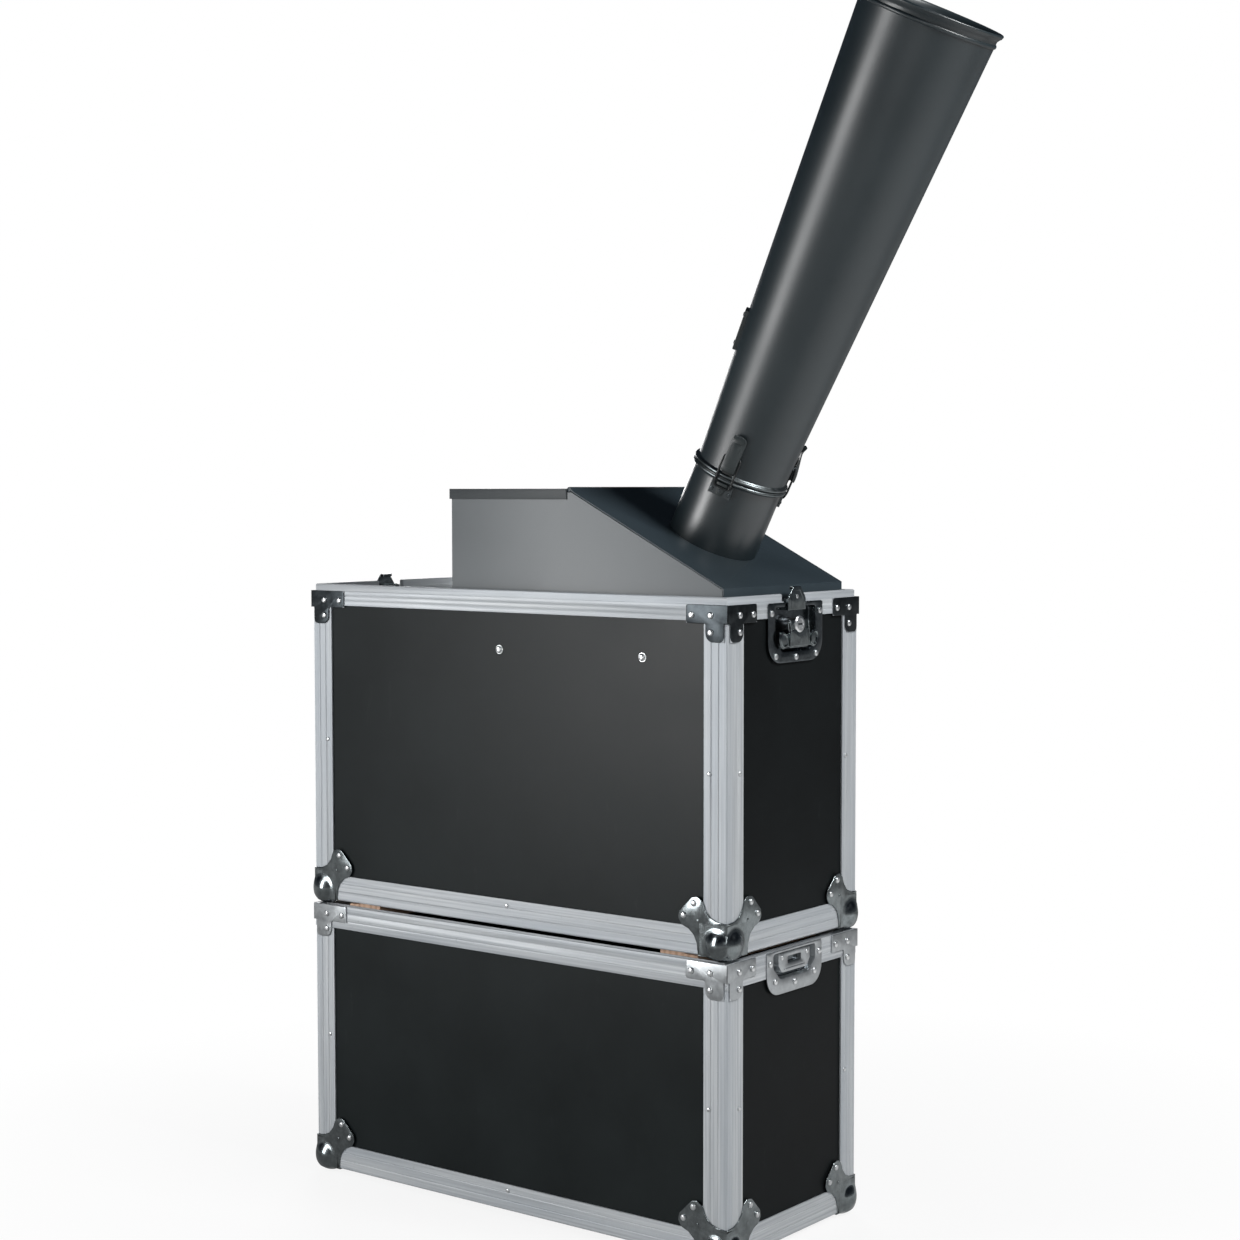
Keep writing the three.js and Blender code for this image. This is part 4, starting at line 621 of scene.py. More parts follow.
# How far each side lies from the case's middle, and its turn from the front
SIDES = {
    "front": (CASE_DEPTH / 2, 0.0), "right": (CASE_LENGTH / 2, pi / 2),
    "back": (CASE_DEPTH / 2, pi), "left": (CASE_LENGTH / 2, -pi / 2),
}


def face_frame(side, x, z):
    """A frame on an outer face of a case: X along it, Y upwards and Z outwards.

    x counts from the face's middle as seen from outside, and z from the floor.
    """
    out, angle = SIDES[side]
    return shift(CENTRE_X, 0, z) @ turn(angle, "Z") @ shift(x, -out, 0) @ FRONT


QUARTERS = {
    "front_left": (1, 1), "front_right": (-1, 1), "back_left": (1, -1), "back_right": (-1, -1),
}


def quarter_frame(quarter, z):
    """Carries a piece made in the front left corner to one of the four, mirrored if need be."""
    return (shift(CENTRE_X, 0, z) @ Matrix.Diagonal((*QUARTERS[quarter], 1, 1))
            @ shift(-CASE_LENGTH / 2, -CASE_DEPTH / 2, 0))


# ---- ball corners

BALL_RADIUS, BALL_CENTRE, BALL_FLAT = 19.5, 12.5, -6.0
# The fillet round the ball's foot, and the distances over which it runs out
BALL_FILLET, FILLET_FULL, FILLET_GONE = 2.6, 15.5, 21.0
# How squarely the plates meet each other away from the ball
SQUARENESS = 10
PATCH_REACH, PATCH_STEPS = 34.5, 44
# How far a leg is bent round the case's edge
BEND = 3.2
# Half of a leg's outer edge on the front face, from the rail's cut-out to the diagonal
WING = [(37, 0, 3), (38, 12, 5), (41.7, 20.7, 7), (49, 27, 6), (58, 30.5, 5), (62.5, 37.5, 4.5),
        (61, 45, 5)]
# The corner's three faces in turn, and the rivets on each; the one below has none
CYCLE = axes("Z", "X", "Y")
CORNER_FACES = [
    (Matrix(), [(42, 55), (55, 41)]), (CYCLE, [(55, 42), (41, 55)]), (CYCLE @ CYCLE, []),
]


def ease(low, high, value):
    t = min(1.0, max(0.0, (value - low) / (high - low)))
    return t * t * (3 - 2 * t)


def ball_point(u, v):
    """The pressing's skin above (u, v) on the front face, as seen from the ball's centre."""
    plane = BALL_CENTRE - OUTER + 0.02
    way = Vector((u - BALL_CENTRE, -plane, v - BALL_CENTRE)).normalized()
    out = [max(0.0, -c) for c in way]
    boxed = plane / sum(c ** SQUARENESS for c in out) ** (1 / SQUARENESS)
    boxed += (min(boxed, BALL_RADIUS) - boxed) * ease(0.0, 0.3, min(out) / max(out))
    aside = hypot(u - BALL_CENTRE, v - BALL_CENTRE)
    fillet = BALL_FILLET * (1 - ease(FILLET_FULL, FILLET_GONE, aside))
    length = (boxed + BALL_RADIUS + hypot(boxed - BALL_RADIUS, fillet)) / 2
    return Vector((BALL_CENTRE,) * 3) + way * length


def corner_ball(shape, place):
    """The ball and the skin that runs from it into the three plates, as one smooth surface."""
    count = PATCH_STEPS + 1
    span = [OUTER + (PATCH_REACH - OUTER) * i / PATCH_STEPS for i in range(count)]
    faces = [[j * count + i, j * count + i + 1, (j + 1) * count + i + 1, (j + 1) * count + i]
             for j in range(PATCH_STEPS) for i in range(PATCH_STEPS)]
    for cycle, _ in CORNER_FACES:
        points = [cycle @ ball_point(u, v) for v in span for u in span]
        for point in points:
            point.z = max(point.z, BALL_FLAT)
        shape.add(points, faces, place)


def wrapped(points):
    """Bends what lies past the case's upright edge round it, as the pressing's legs do."""
    centre = BEND + OUTER
    result = []
    for x, y, z in points:
        if x < centre:
            angle, radius = (centre - x) / BEND * pi / 4, centre - y
            x, y = centre - radius * sin(angle), centre - radius * cos(angle)
        result.append((x, y, z))
    return result


def corner_wing(shape, place):
    """One pressed leg on the front face, wrapped a little round both edges, with its dimple."""
    edge, cut = 0.55, 30
    past, foot = OUTER - edge, WING[0][0]
    others = [(z, x, r) for x, z, r in reversed(WING)]
    outline = rounded([(past, cut), (cut, cut), (cut, past), (foot, past),
                       *WING, *others, (past, foot)])
    leg = Shape()
    leg.slab(outline, SEAT, -OUTER, edge, FRONT)
    points = [tuple(point) for point in leg.points]
    for _ in range(2):
        points = [(z, y, x) for x, y, z in wrapped(points)]
    shape.add(points, leg.faces, place)
    shape.rivet(1.9, 0.55, place @ FRONT @ shift(36.5, 36.5, -OUTER), MAIN, 16)


def corner_piece(case, quarter, z):
    """A ball corner: one pressing with its four rivets."""
    shape = Shape()
    place = quarter_frame(quarter, z)
    corner_ball(shape, place)
    for cycle, spots in CORNER_FACES:
        corner_wing(shape, place @ cycle)
        for x, y in spots:
            shape.rivet(3.5, 2.1, place @ cycle @ FRONT @ shift(x, y, -OUTER))
    name = f"{case}_corner_{quarter}"
    shape.build(f"{name}_pressing", case, [STEEL, RIVET], [name])


for quarter in QUARTERS:
    corner_piece("stand", quarter, STAND_Z)
    corner_piece("base", quarter, BASE_Z)


# ---- rim brackets

def bracket_face(shape, place, top):
    """One leg of a rim bracket on a face frame whose origin is the rim's corner."""
    proud = 0.25
    front, root = -OUTER + proud, OUTER - proud
    head, waist, foot = top + 0.1, top - 19.7, top - 39.2
    outline = rounded([
        (root, head), (52.2, head, 2.5), (52.2, waist, 2.5), (27.2, waist, 2.0),
        (27.2, foot, 11.0), (3.3, foot, 6.0), (3.3, waist, 1.0), (root, waist)])
    shape.slab(outline, 1.0, front, 0.5, place)
    for x, drop in ((20.4, 11), (45, 11), (20.4, 29)):
        shape.rivet(3.6, 2.1, place @ shift(x, top - drop, front))


def brackets(case, rim, top, steel):
    """The four brackets of a rim; top is where their plates end above or below it."""
    shape = Shape()
    for quarter in QUARTERS:
        place = quarter_frame(quarter, rim)
        for leg in (Matrix(), axes("Y", "X", "Z")):
            bracket_face(shape, place @ leg @ FRONT, top)
    shape.build(f"{case}_rim_brackets", case, [steel, RIVET])


# The same brackets wear a lighter painted copy of the steel on the stand and a darker one on the
# base.
brackets("stand", STAND_Z + STAND_HEIGHT, 0.0, STAND_STEEL_PAINTED_LIGHT)
brackets("base", BASE_Z + BASE_HEIGHT, -8.0, BASE_STEEL_PAINTED_SHADE)


# ---- rivets and bolts

def edge_rivets(case, z, height, frame_bottom):
    """A small rivet halfway up each face of an upright, and one in each long floor rail."""
    shape = Shape()
    inwards, floor_top = 23.0, 33.0
    middle = (floor_top + height + frame_bottom - SEAT) / 2
    spots = [(side, 0.0, inwards) for side in ("front", "back")]
    for side, length in (("front", CASE_LENGTH), ("back", CASE_LENGTH),
                         ("left", CASE_DEPTH), ("right", CASE_DEPTH)):
        spots += [(side, x * (length / 2 - inwards), middle) for x in (-1, 1)]
    for side, x, up in spots:
        shape.rivet(2.5, 1.4, face_frame(side, x, z + up), MAIN)
    shape.build(f"{case}_edge_rivets", case, [RIVET])


edge_rivets("stand", STAND_Z, STAND_HEIGHT, -27.5)
edge_rivets("base", BASE_Z, BASE_HEIGHT, -25.0)


def dome_bolts():
    """The two bright dome bolts in the base's front panel, each on a thin washer."""
    shape = Shape()
    below_rim, panel_depth = 67.0, 2.1
    washer = [(0, -0.2), (5.2, -0.2), (5.2, 0.35), (4.9, 0.6), (0, 0.6)]
    head = [(0.0, 0.3), (4.3, 0.3), (4.3, 0.9), (4.0, 1.7), (3.3, 2.4), (2.3, 2.85), (1.7, 2.9),
            (1.5, 2.3), (0.0, 2.3)]
    for x in (-11.0, 190.5):
        place = face_frame("front", x, BASE_Z + BASE_HEIGHT - below_rim) @ shift(z=-panel_depth)
        shape.lathe(washer, place, 28)
        shape.lathe(head, place, 28)
    shape.build("front_panel_dome_bolts", "base", [RIVET])


dome_bolts()


# ---- keeper and latch dishes

DISH_FLOOR, DISH_LIP, PAN_CUT = -7.2, 1.3, 13


def dish(shape, place, plate, pan, rivets, corner, throat=0.0):
    """A pressed dish: plate, rolled edge into the pan, sloping wall and floor, and its rivets.

    plate and pan are (half width, top, bottom), counted downwards from the frame's origin, and
    rivets are its right half's. A throat is half the width of the pan's opening to the top.
    """
    count = 144
    half, top, bottom = plate
    pan_half, pan_top, pan_bottom = pan
    outer = rounded(both_halves([(half, -bottom, corner), (half, -top, 1.0)]), 8)
    right = [(pan_half - PAN_CUT, -pan_bottom, 5), (pan_half, PAN_CUT - pan_bottom, 5),
             (pan_half, -pan_top, 3)]
    if throat:
        right += [(throat, -pan_top, 1.0), (throat, -top - DISH_LIP - 0.1, 0.3)]
    hole = rounded(both_halves(right), 6)
    front = -OUTER
    levels = [
        (outer, 0.4, SEAT), (outer, 0, SEAT), (outer, 0, front - 0.5),
        (outer, 0.15, front - 0.15), (outer, 0.5, front), (hole, -DISH_LIP, front),
        (hole, -DISH_LIP * 0.35, front - DISH_LIP * 0.25), (hole, 0, front - DISH_LIP),
        (hole, 0.5, DISH_FLOOR + 2.0), (hole, 1.1, DISH_FLOOR + 0.6), (hole, 2.2, DISH_FLOOR),
        (hole, 1.2, DISH_FLOOR - 1.2), (hole, -1.0, SEAT - 0.6)]
    start, foot_of_wall = len(shape.points), len(shape.faces) + 8 * count
    shape.stepped(levels, (0.0, -(pan_top + pan_bottom) / 2), count, place, closed=True)
    # The wall's foot and the pan's floor wear the dark material: painted shade in the recess.
    shape.kinds[foot_of_wall:foot_of_wall + 2 * count] = [PAINTED_SHADE_KIND] * 2 * count
    floor = [start + 10 * count + i for i in range(count)]
    underside = [start + 11 * count + i for i in reversed(range(count))]
    shape.faces += [floor, underside]
    shape.kinds += [PAINTED_SHADE_KIND, MAIN]
    for x, y in rivets:
        for side in (-1, 1) if x else (1,):
            shape.rivet(3.6, 2.0, place @ shift(side * x, y, front))


def keeper(end):
    """The keeper in one end of the stand: a dish with a raised box, its slot, rivets and rib."""
    shape = Shape()
    place = face_frame(end, 0, STAND_Z + STAND_HEIGHT)
    dish(shape, place, (54, 0, 48), (41, 3, 31), [(48, -12.4), (38.5, -33), (0, -38.5)], 22)
    box = rounded(both_halves([(24, -25.5, 4), (31, -17, 3), (31, -3.4, 2)]))
    slot = oblong(13, -16.2, -8.8, 1.5)
    levels = [(box, -1.6, -7.4), (box, -0.5, -5.6), (box, 0, 0.1), (box, 0.3, 0.8),
              (box, 1.2, 1.15), (slot, -0.8, 1.15), (slot, -0.2, 0.8), (slot, 0, 0.2),
              (slot, 0, -4.5)]
    count = 120
    shape.stepped(levels, (0.0, -12.5), count, place)
    # The slot's bottom wears the dark material: painted shade in the slot.
    shape.faces.append([len(shape.points) - count + i for i in range(count)])
    shape.kinds.append(PAINTED_SHADE_KIND)
    for x in (-24.5, 24.5):
        shape.rivet(2.6, 1.1, place @ shift(x, -9, 1.1))
    shape.slab(oblong(20, -23, -21.2, 1, steps=3), 0.8, 1.9, 0.5, place)
    shape.build(f"keeper_{end}_pressing", "stand", [STAND_STEEL_PAINTED_LIGHT, RIVET, DARK_STEEL_AND_SHADE],
                [f"keeper_dish_{end}"])


def latch_dish(end):
    """The latch's dish, open at the top for the hook."""
    shape = Shape()
    place = face_frame(end, 0, BASE_Z + BASE_HEIGHT)
    rivets = [(47, -20), (39.5, -66.5), (0, -68.5)]
    dish(shape, place, (53, 9, 74), (39, 14, 62), rivets, 23, throat=20)
    name = f"latch_dish_{end}"
    shape.build(f"{name}_pressing", "base", [DARK_STEEL_AND_SHADE, RIVET, DARK_STEEL_AND_SHADE], [name])


# The right lobe of the butterfly handle and the crest of its raised rim
LOBE = [(16, 4.6, 1.5), (20.5, 2.4, 2), (21, -4, 2.5), (17.2, -9, 2), (24, -10.3, 4),
        (31, -6.4, 4), (36, -8.2, 2.5), (38, -15, 4), (35, -23, 4), (30, -26, 3),
        (22, -23.4, 3), (16, -24, 1.5)]
LOBE_RIM = [(24, -12.2, 4), (31, -8.6, 4), (34.6, -10.2, 2.5), (36, -15, 4), (33.4, -21.4, 4),
            (29.4, -23.8, 3), (23, -21.2, 3)]


def latch_wing(end):
    """The butterfly handle: two dished lobes on a raised bridge, with a domed hub and a thin dark
    plate on it painted as its slot.
    """
    shape = Shape()
    hub_drop, stand_off = 33.0, 3.6
    place = face_frame(end, 0, BASE_Z + BASE_HEIGHT - hub_drop) @ shift(z=SEAT + stand_off)
    for side in (-1, 1):
        lobe, rim = (rounded([(side * x, y, r) for x, y, r in half]) for half in (LOBE, LOBE_RIM))
        shape.slab(lobe, 0, 1.8, 0.7, place, both=True)
        levels = [(rim, -1.2, 1.6), (rim, -0.9, 2.5), (rim, 0, 2.9), (rim, 0.9, 2.5),
                  (rim, 1.3, 1.75)]
        shape.stepped(levels, (side * 27.0, -15.5), 48, place)
    shape.slab(oblong(18, -25, 5, 2), -0.2, 1.7, 0.6, place, both=True)
    shape.slab(oblong(17.4, -23.6, -5.2, 1.5), 1.4, 3.0, 0.8, place)
    for x in (-17.6, 17.6):
        shape.wire([(x, 3.5, 2.2), (x, -8, 3.0), (x, -23.5, 2.2)], 0.9, place, closed=False)
    hub = [(0, -10.9), (6.9, -10.9), (6.9, 0), (9.4, 0.4), (9.4, 2.3), (8.6, 3.3), (6.6, 3.9),
           (5.6, 3.8), (5.2, 3.2), (0, 3.2)]
    shape.lathe(hub, place, 40, FASTENER)
    # A thin dark plate on the hub's dome stands for its slot: painted shade.
    shape.slab(oblong(4.2, -1.1, 1.1, 0.8, steps=3), 3.0, 3.35, 0.1, place, PAINTED_SHADE_KIND)
    name = f"latch_wing_{end}"
    shape.build(f"{name}_handle", name, [STEEL, RIVET, DARK_STEEL_AND_SHADE], [name])


def latch_hook(end):
    """The hook: a plate before the dish with sloping shoulders, bent sides and a curled top."""
    shape = Shape()
    place = face_frame(end, 0, BASE_Z + BASE_HEIGHT)
    plate = rounded(both_halves([(17, -17.6, 1.2), (17, -5, 2.5), (7.5, 7.8, 2.2)]))
    shape.slab(plate, 1.85, 3.05, 0.45, place, both=True)
    sideways = place @ axes("-Z", "Y", "X")
    cheek = rounded([(7.0, -17.6, 0.8), (-2.9, -17.6, 0.3), (-2.9, -5.2, 0.3), (1.5, -4.4, 2.5),
                     (7.0, -7.0, 2.5)], 4)
    for x in (-16.4, 16.4):
        shape.slab(cheek, -0.6, 0.6, 0.3, sideways @ shift(z=x), both=True)
    curl = rounded([(-3.0, 6.2), (-3.0, 7.8, 1.2), (2.9, 7.8, 0.6), (2.9, 4.6, 0.6),
                    (1.7, 4.6, 0.4), (1.7, 6.6, 0.8), (-1.8, 6.6)], 4)
    shape.slab(curl, -7.0, 7.0, 0.4, sideways, both=True)
    back = both_halves([(16.6, -17.6), (16.6, -5.2)])
    shape.slab(back, -7.05, -5.9, 0.3, place, both=True, steps=2)
    shape.rivet(2.3, 0.6, place @ shift(0, -3, 3.0))
    rib = [(-11.5, -16), (-11.5, -5.6), (-5.0, 3.6), (5.0, 3.6), (11.5, -5.6), (11.5, -16)]
    shape.wire([(x, y, 3.0) for x, y in rib], 0.4, place, closed=False, segments=8)
    name = f"latch_hook_{end}"
    shape.build(f"{name}_plate", name, [STEEL, RIVET], [name])


for end in ("right", "left"):
    keeper(end)
    latch_dish(end)
    latch_wing(end)
    latch_hook(end)


# ---- barrel, collar and outlet

def cone(height):
    """The barrel's outer radius at a height above the joint."""
    return TUBE_RADIUS + (MOUTH_RADIUS - TUBE_RADIUS) * height / BARREL_LENGTH


def barrel():
    """The cone with its bead, the flared collar and the rolled lip at its mouth."""
    shape = Shape()
    bead = 516.0
    flare = MOUTH_RADIUS + 3.4
    profile = [(TUBE_RADIUS - TUBE_WALL, SEAT), (TUBE_RADIUS, SEAT)]
    profile += [(cone(h), h) for h in (*range(60, 481, 60), 510)]
    profile += [(cone(bead) + r, bead + z) for r, z in (
        (0.0, -2.4), (0.7, -2.1), (1.4, -1.3), (1.7, 0.0), (1.4, 1.3), (0.7, 2.1), (0.0, 2.4))]
    profile += [(cone(521), 521), (cone(522) + 0.5, 522.2), (cone(523) + 1.4, 523.6)]
    profile += [(flare - 0.4, 525.4), *arc_points((flare - 1.2, 527.9), 1.7, -40, 130, 8)]
    profile += [(flare - 4.2, 526.6), (cone(521) - TUBE_WALL, 520.5)]
    profile += [(cone(h) - TUBE_WALL, h) for h in (480, 360, 240, 120, 20)]
    shape.lathe(profile, JOINT, 160)
    shape.build("barrel_shell", "barrel", [BARREL], ["barrel"])


def side_plate():
    """The small pressed plate on the barrel's side, bent to the cone, with two screws."""
    shape = Shape()
    foot = shift(cone(SIDE_PLATE_HEIGHT), 0, SIDE_PLATE_HEIGHT)
    place = JOINT @ turn(SIDE_PLATE_AZIMUTH, "Z") @ foot @ turn(TAPER, "Y") @ SPOKE
    top = 3.3
    shape.slab(oblong(8.4, -23.2, 23.2, 3), -1.2, top, 0.9, place)
    for y in (-16, 16):
        shape.rivet(2.4, 1.0, place @ shift(0, y, top), MAIN)
    shape.build("barrel_side_plate", "barrel", [CLASP])


def collar():
    """The rolled ring at the barrel's foot with the three clasp bases, their ears and pins."""
    shape = Shape()
    ring = [(TUBE_RADIUS + 0.15, SEAT), (TUBE_RADIUS + 2.6, SEAT)]
    ring += arc_points((TUBE_RADIUS + 1.7, 2.5), 2.2, -70, 95, 10)
    ring += [(cone(6) + 0.15, 5.6), (cone(5) + 0.12, 5.0)]
    shape.lathe(ring, JOINT, 128)
    base = oblong(6.4, 1.0, 22.4, 1, 2.5)
    ear = rounded([(-4.9, -2.6), (-2.4, -2.5, 1), (-1.3, -1.8, 0.5), (0.2, -2.1, 1),
                   (1.5, -1.5, 1), (2.1, 0, 1), (1.5, 1.5, 1), (0, 2.1, 1), (-2.2, 3.4, 2),
                   (-4.6, 3.6)], 3)
    pin = [(0, -8.9), (1.6, -8.9), (1.9, -8.6), (1.9, -8.35), (1.2, -8.3), (1.2, 8.3),
           (1.9, 8.35), (1.9, 8.6), (1.6, 8.9), (0, 8.9)]
    for spoke in CLASP_FRAMES:
        wall = spoke @ shift(TUBE_RADIUS) @ turn(TAPER, "Y") @ SPOKE
        shape.slab(base, 0.1, 1.7, 0.4, wall, FASTENER)
        pivot = spoke @ shift(*CLASP_PIVOT)
        for y in (-6.35, 4.95):
            flat = pivot @ shift(y=y) @ axes("X", "Z", "Y")
            shape.slab(ear, 0, 1.4, 0.3, flat, FASTENER, both=True, steps=2)
        shape.lathe(pin, pivot @ turn(pi / 2, "X"), 16, FASTENER)
    shape.build("barrel_foot_collar", "barrel", [RING_STEEL, WIRE], ["barrel_collar"])


def stub_sleeve():
    """The visible stub: a smooth skin over the outlet tube, which flares to the joint's ring."""
    shape = Shape()
    inner, skin, bead_foot = TUBE_RADIUS + 0.05, TUBE_RADIUS + 0.3, 78.3
    profile = [(inner, -0.5)] + [(skin, h) for h in (-0.5, 2.2, 40, 75.6, 76.8)]
    shape.lathe(profile + [(skin + 0.6, bead_foot), (inner, bead_foot)], AXIS, 128)
    bead = [(inner, bead_foot), (skin + 0.6, bead_foot)]
    bead += arc_points((TUBE_RADIUS + 1.9, 80.6), 2.1, -60, 62, 8)
    bead += [(TUBE_RADIUS + 2.6, STUB_LENGTH), (inner, STUB_LENGTH)]
    shape.lathe(bead, AXIS, 128, FASTENER)
    shape.build("outlet_stub_skin", "base", [STUB_PAINT, RING_STEEL])


def catch_rings(bottom, top):
    """A catch plate bent to the stub: round at both ends, and higher in its middle."""
    half, straight, round_end, columns = 13.4, 8.4, 5.0, 14
    rings = []
    for i in range(columns + 1):
        y = -half + 2 * half * i / columns
        fall = max(0.0, abs(y) - straight)
        dip = sqrt(max(0.0, round_end ** 2 - fall ** 2))
        middle = bottom + 5.1
        low_z = middle - dip
        high_z = min(middle + dip + (4.9 if abs(y) < straight else 0), top + 0.1)
        section = ((50.3, low_z), (52.0, low_z), (52.25, low_z + 0.3),
                   (52.25, high_z - 0.3), (52.0, high_z), (50.3, high_z))
        angle = y / TUBE_RADIUS
        rings.append([(r * cos(angle), r * sin(angle), z) for r, z in section])
    return rings


def catches():
    """The catch plates on the stub, each with two screws and a hooked tongue with a dark disc
    painted as its hole.
    """
    shape = Shape()
    bar_height = STUB_LENGTH + CLASP_PIVOT[2] + BAIL_PIN[2] - BAIL_REACH
    hook_bottom = bar_height + BAIL_WIRE + BAIL_SLACK
    top = hook_bottom + 2.4
    bottom = top - 15
    plate = catch_rings(bottom, top)
    screw = [(0, -0.4), (2.5, -0.4), (2.5, 0.6), (2.1, 1.1), (1.2, 1.25), (1.1, 0.7), (0, 0.7)]
    tongue = rounded(both_halves([(2.6, bottom + 1.0, 2), (6.2, hook_bottom - 0.1, 1.2),
                                  (6.2, top + 0.1, 0.8)]), 4)
    hole = [(0, 0), (1.8, 0), (1.8, 0.25), (1.4, 0.3), (1.3, 0.2), (0, 0.2)]
    hook = both_halves([(6.1, hook_bottom - 0.05), (6.1, top + 0.05)])
    for azimuth in CLASP_AZIMUTHS:
        spoke = AXIS @ turn(azimuth, "Z")
        shape.loft(plate, spoke)
        for aside in (-10, 10):
            seat = spoke @ turn(aside / TUBE_RADIUS, "Z") @ shift(52.1, 0, bottom + 5)
            shape.lathe(screw, seat @ turn(pi / 2, "Y"), 20, FASTENER)
        face = spoke @ SPOKE
        shape.slab(tongue, TUBE_RADIUS + 0.4, TUBE_RADIUS + 2.6, 0.5, face)
        shape.slab(hook, TUBE_RADIUS + 0.6, TUBE_RADIUS + 4.3, 0.5, face, both=True, steps=2)
        # The hole is a thin dark disc on the tongue: painted shade, not a cut.
        shape.lathe(hole, face @ shift(0, bottom + 6.2, TUBE_RADIUS + 2.45), 20, FASTENER)
    shape.build("outlet_stub_catches", "base", [CLASP, DARK_STEEL_AND_SHADE])


barrel()
side_plate()
collar()
stub_sleeve()
catches()


# ---- toggle clasps

# The lever's middle line from knuckle to curled tip: (outwards, along, cheek depth, half width)
LEVER = [
    (3.1, -3.4, 3.4, 8.2), (3.5, -2.4, 5.4, 8.3), (3.7, 0.0, 6.2, 8.3), (3.6, 4.6, 6.2, 8.3),
    (3.1, 9.0, 5.8, 8.3), (2.4, 14.0, 5.0, 8.3), (1.6, 19.0, 3.6, 8.3), (0.8, 24.0, 2.2, 8.3),
    (0.2, 28.0, 1.5, 8.3), (0.0, 31.0, 1.2, 8.2), (0.6, 33.2, 1.1, 8.0), (1.8, 35.2, 1.05, 7.2),
    (3.0, 36.6, 1.0, 5.8), (3.9, 37.5, 0.95, 3.6),
]
LEVER_SHEET = 1.2
LEVER_LEAN = atan2(3.4, 26) * 0.98


def lever_ring(i):
    """The lever's section at one point of its middle line: a channel with round shoulders."""
    out, along, cheek, half = LEVER[i]
    before, after = LEVER[max(i - 1, 0)], LEVER[min(i + 1, len(LEVER) - 1)]
    ahead = Vector((after[0] - before[0], after[1] - before[1])).normalized()
    cheek = max(cheek, LEVER_SHEET)
    shoulder = min(1.4, half * 0.4)
    inside = half - min(LEVER_SHEET, half * 0.6)
    outer = [(half - shoulder, 0.0), (half - shoulder * 0.3, shoulder * 0.3), (half, shoulder),
             (half, cheek)]
    inner = [(inside, cheek), (inside, LEVER_SHEET)]
    section = [(-y, depth) for y, depth in reversed(outer)] + outer + inner
    section += [(-y, depth) for y, depth in reversed(inner)]
    return [(out - ahead.y * depth, y, along + ahead.x * depth) for y, depth in section]


def lever(letter, spoke):
    """The pressed lever with its rib and the eyes that hold the bail."""
    shape = Shape()
    place = spoke @ shift(*CLASP_PIVOT)
    shape.loft([lever_ring(i) for i in range(len(LEVER))], place)
    back = place @ shift(3.75) @ turn(-LEVER_LEAN, "Y") @ SPOKE
    shape.slab(oblong(4.6, 1, 29, 1.5, 2), -0.6, 0.45, 0.3, back)
    for y in (-8.6, 8.0):
        eye = place @ shift(BAIL_PIN[0], y, BAIL_PIN[2]) @ turn(-pi / 2, "X")
        shape.lathe([(1.3, 0), (2.6, 0), (2.6, 0.6), (1.3, 0.6)], eye, 18, FASTENER)
    name = f"clasp_lever_{letter}"
    shape.build(f"{name}_pressing", name, [CLASP, DARK_STEEL_AND_SHADE], [name], smooth=40)


def bail(letter, spoke):
    """The wire loop, bent to a round corner at each end of its bar."""
    shape = Shape()
    place = spoke @ shift(*CLASP_PIVOT) @ shift(*BAIL_PIN)
    half = 9.75
    shoulder = (0.05, 9.4, -0.3)
    leg = [(0.6, half, -3), (1.1, half, -9), (1.1, half, -14), (1.1, half, -27),
           (0.5, half, -30.5), (0.0, half - 0.35, -32.6), (-0.3, half - 1.2, -34.3),
           (-0.3, half - 3.0, -BAIL_REACH)]
    path = [(0, y, 0) for y in (-8.6, -4, 0, 4, 8.6)] + [shoulder, *leg]
    path += [(-0.3, y, -BAIL_REACH) for y in (4, 0, -4)]
    path += [(x, -y, z) for x, y, z in reversed([shoulder, *leg])]
    shape.wire(path, BAIL_WIRE, place, segments=12)
    name = f"clasp_bail_{letter}"
    shape.build(f"{name}_wire", name, [WIRE], [name])


for letter, spoke in zip("abc", CLASP_FRAMES):
    lever(letter, spoke)
    bail(letter, spoke)


# ---- studio

def studio_floor():
    """A pale floor that the camera sees as nearly white, and metal as a painted reflection,
    brightest round a spot right of the case.
    """
    reach = 9.0
    corners = [(-reach, -reach, 0), (reach, -reach, 0), (reach, reach, 0), (-reach, reach, 0)]
    mesh = bpy.data.meshes.new("studio_floor")
    mesh.from_pydata(corners, [], [(0, 1, 2, 3)])
    graph = Surface("pale_floor", {
        "Base Color": rgba(0.86), "Roughness": 0.7, "Specular IOR Level": 0.2})
    rays = graph.node("ShaderNodeLightPath").outputs

    def glow(colour):
        return graph.node("ShaderNodeEmission", {"Color": colour}).outputs[0]

    def distance(point):
        values = {0: graph.place, 1: point}
        return graph.node("ShaderNodeVectorMath", values, operation="DISTANCE").outputs["Value"]

    away = graph.span(distance((0, 0, 0)), 0.35, 1.1, 0.86, 1.0)
    seen = graph.maths("MULTIPLY", rays["Is Camera Ray"], away)
    # Seen in metal only, the floor glows brightest round a spot to the right of the case and
    # dimmer further out: a painted reflection.
    painted_reflection = graph.ramp(graph.span(distance((1.5, 0.6, 0.0)), 0.5, 3.0), (0.0, 1.0), (0.2, 0.8),
                       (0.45, 0.30), (0.65, 0.22), (1.0, 0.38))
    lit = graph.blend(seen, graph.shader.outputs[0], glow(rgba(1.0)))
    output = next(n for n in graph.tree.nodes if n.type == "OUTPUT_MATERIAL")
    surface = graph.blend(rays["Is Glossy Ray"], lit, glow(painted_reflection))
    graph.tree.links.new(surface, output.inputs["Surface"])
    mesh.materials.append(graph.material)
    placed("studio_floor", mesh)


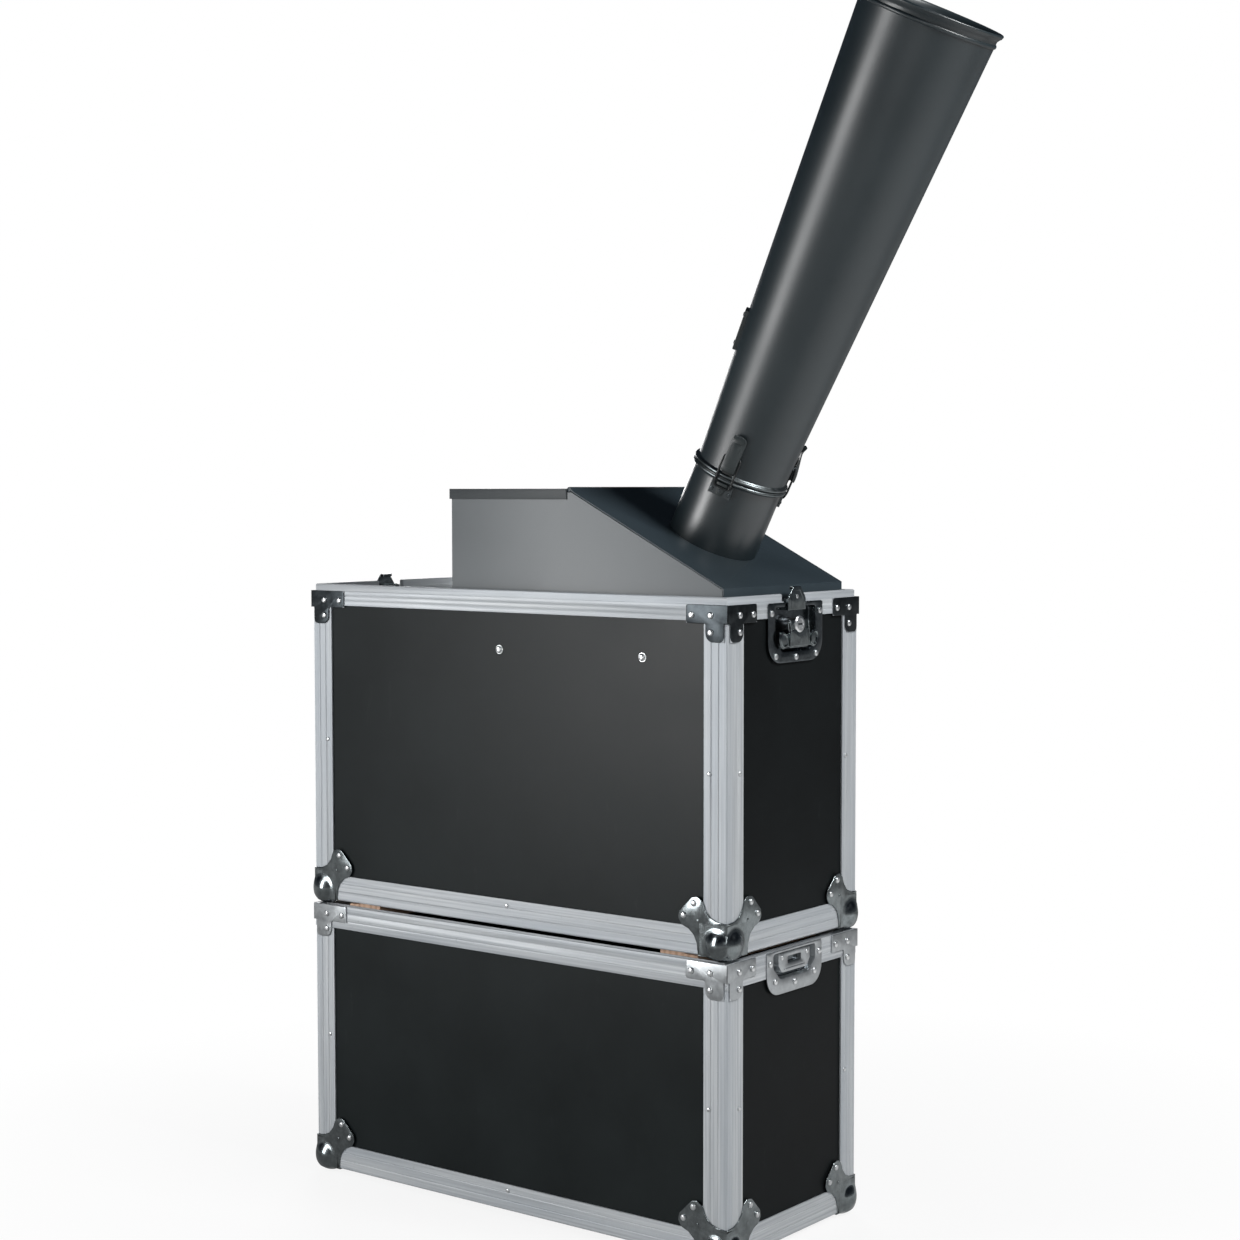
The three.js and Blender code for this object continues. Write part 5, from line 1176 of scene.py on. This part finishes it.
def studio_world():
    """A dim room that gives the metal its dark reflections, behind a white backdrop."""
    world = bpy.data.worlds.new("studio")
    bpy.context.scene.world = world
    world.use_nodes = True
    world.node_tree.nodes.clear()
    graph = Graph(world.node_tree)
    direction = graph.node("ShaderNodeTexCoord").outputs["Generated"]
    height = graph.node("ShaderNodeSeparateXYZ", {0: direction}).outputs["Z"]
    dim = graph.ramp(
        graph.span(height, -0.2, 1.0), (0.0, (0.16, 0.17, 0.18)), (0.2, (0.12, 0.13, 0.14)),
        (0.4, (0.014, 0.019, 0.028)), (1.0, (0.02, 0.026, 0.036)))
    room, white = (graph.node("ShaderNodeBackground", {"Color": colour}).outputs[0]
                   for colour in (dim, rgba(1.0)))
    seen = graph.node("ShaderNodeLightPath").outputs["Is Camera Ray"]
    graph.node("ShaderNodeOutputWorld", {"Surface": graph.blend(seen, room, white)})


def lamp(name, place, target, size, power):
    """A softbox in metres and watts, turned to its target."""
    light = bpy.data.lights.new(name, "AREA")
    light.shape = "RECTANGLE"
    light.size, light.size_y = size
    light.energy = power
    box = placed(name, light)
    box.location = place
    aim = Vector(target) - Vector(place)
    box.rotation_euler = aim.to_track_quat("-Z", "Y").to_euler()


def camera():
    """The photograph's own view, from the fit to the case's edges."""
    data = bpy.data.cameras.new("photo_view")
    data.sensor_width = 36.0
    data.lens = 66.90
    data.clip_end = 50.0
    yaw, pitch, roll = (radians(a) for a in (37.72, 3.30, -0.06))
    view = placed("photo_view", data)
    view.matrix_world = (shift(1.5618, -2.0850, 0.8262) @ turn(yaw, "Z")
                         @ turn(pi / 2 - pitch, "X") @ turn(roll, "Z"))
    bpy.context.scene.camera = view


studio_floor()
studio_world()
lamp("key_softbox", (-1.32, -2.31, 1.0), (-0.05, 0, 0.7), (0.75, 1.7), 42)
lamp("fill_softbox", (2.25, 0.12, 2.45), (0.05, 0, 0.75), (0.75, 0.75), 77)
lamp("camera_softbox", (1.85, -2.45, 1.1), (0, 0, 0.6), (0.9, 0.6), 9)
lamp("rear_softbox", (-1.9, 1.9, 0.8), (0, 0, 0.6), (1.2, 1.2), 30)
camera()

bpy.context.scene.view_settings.view_transform = "Standard"
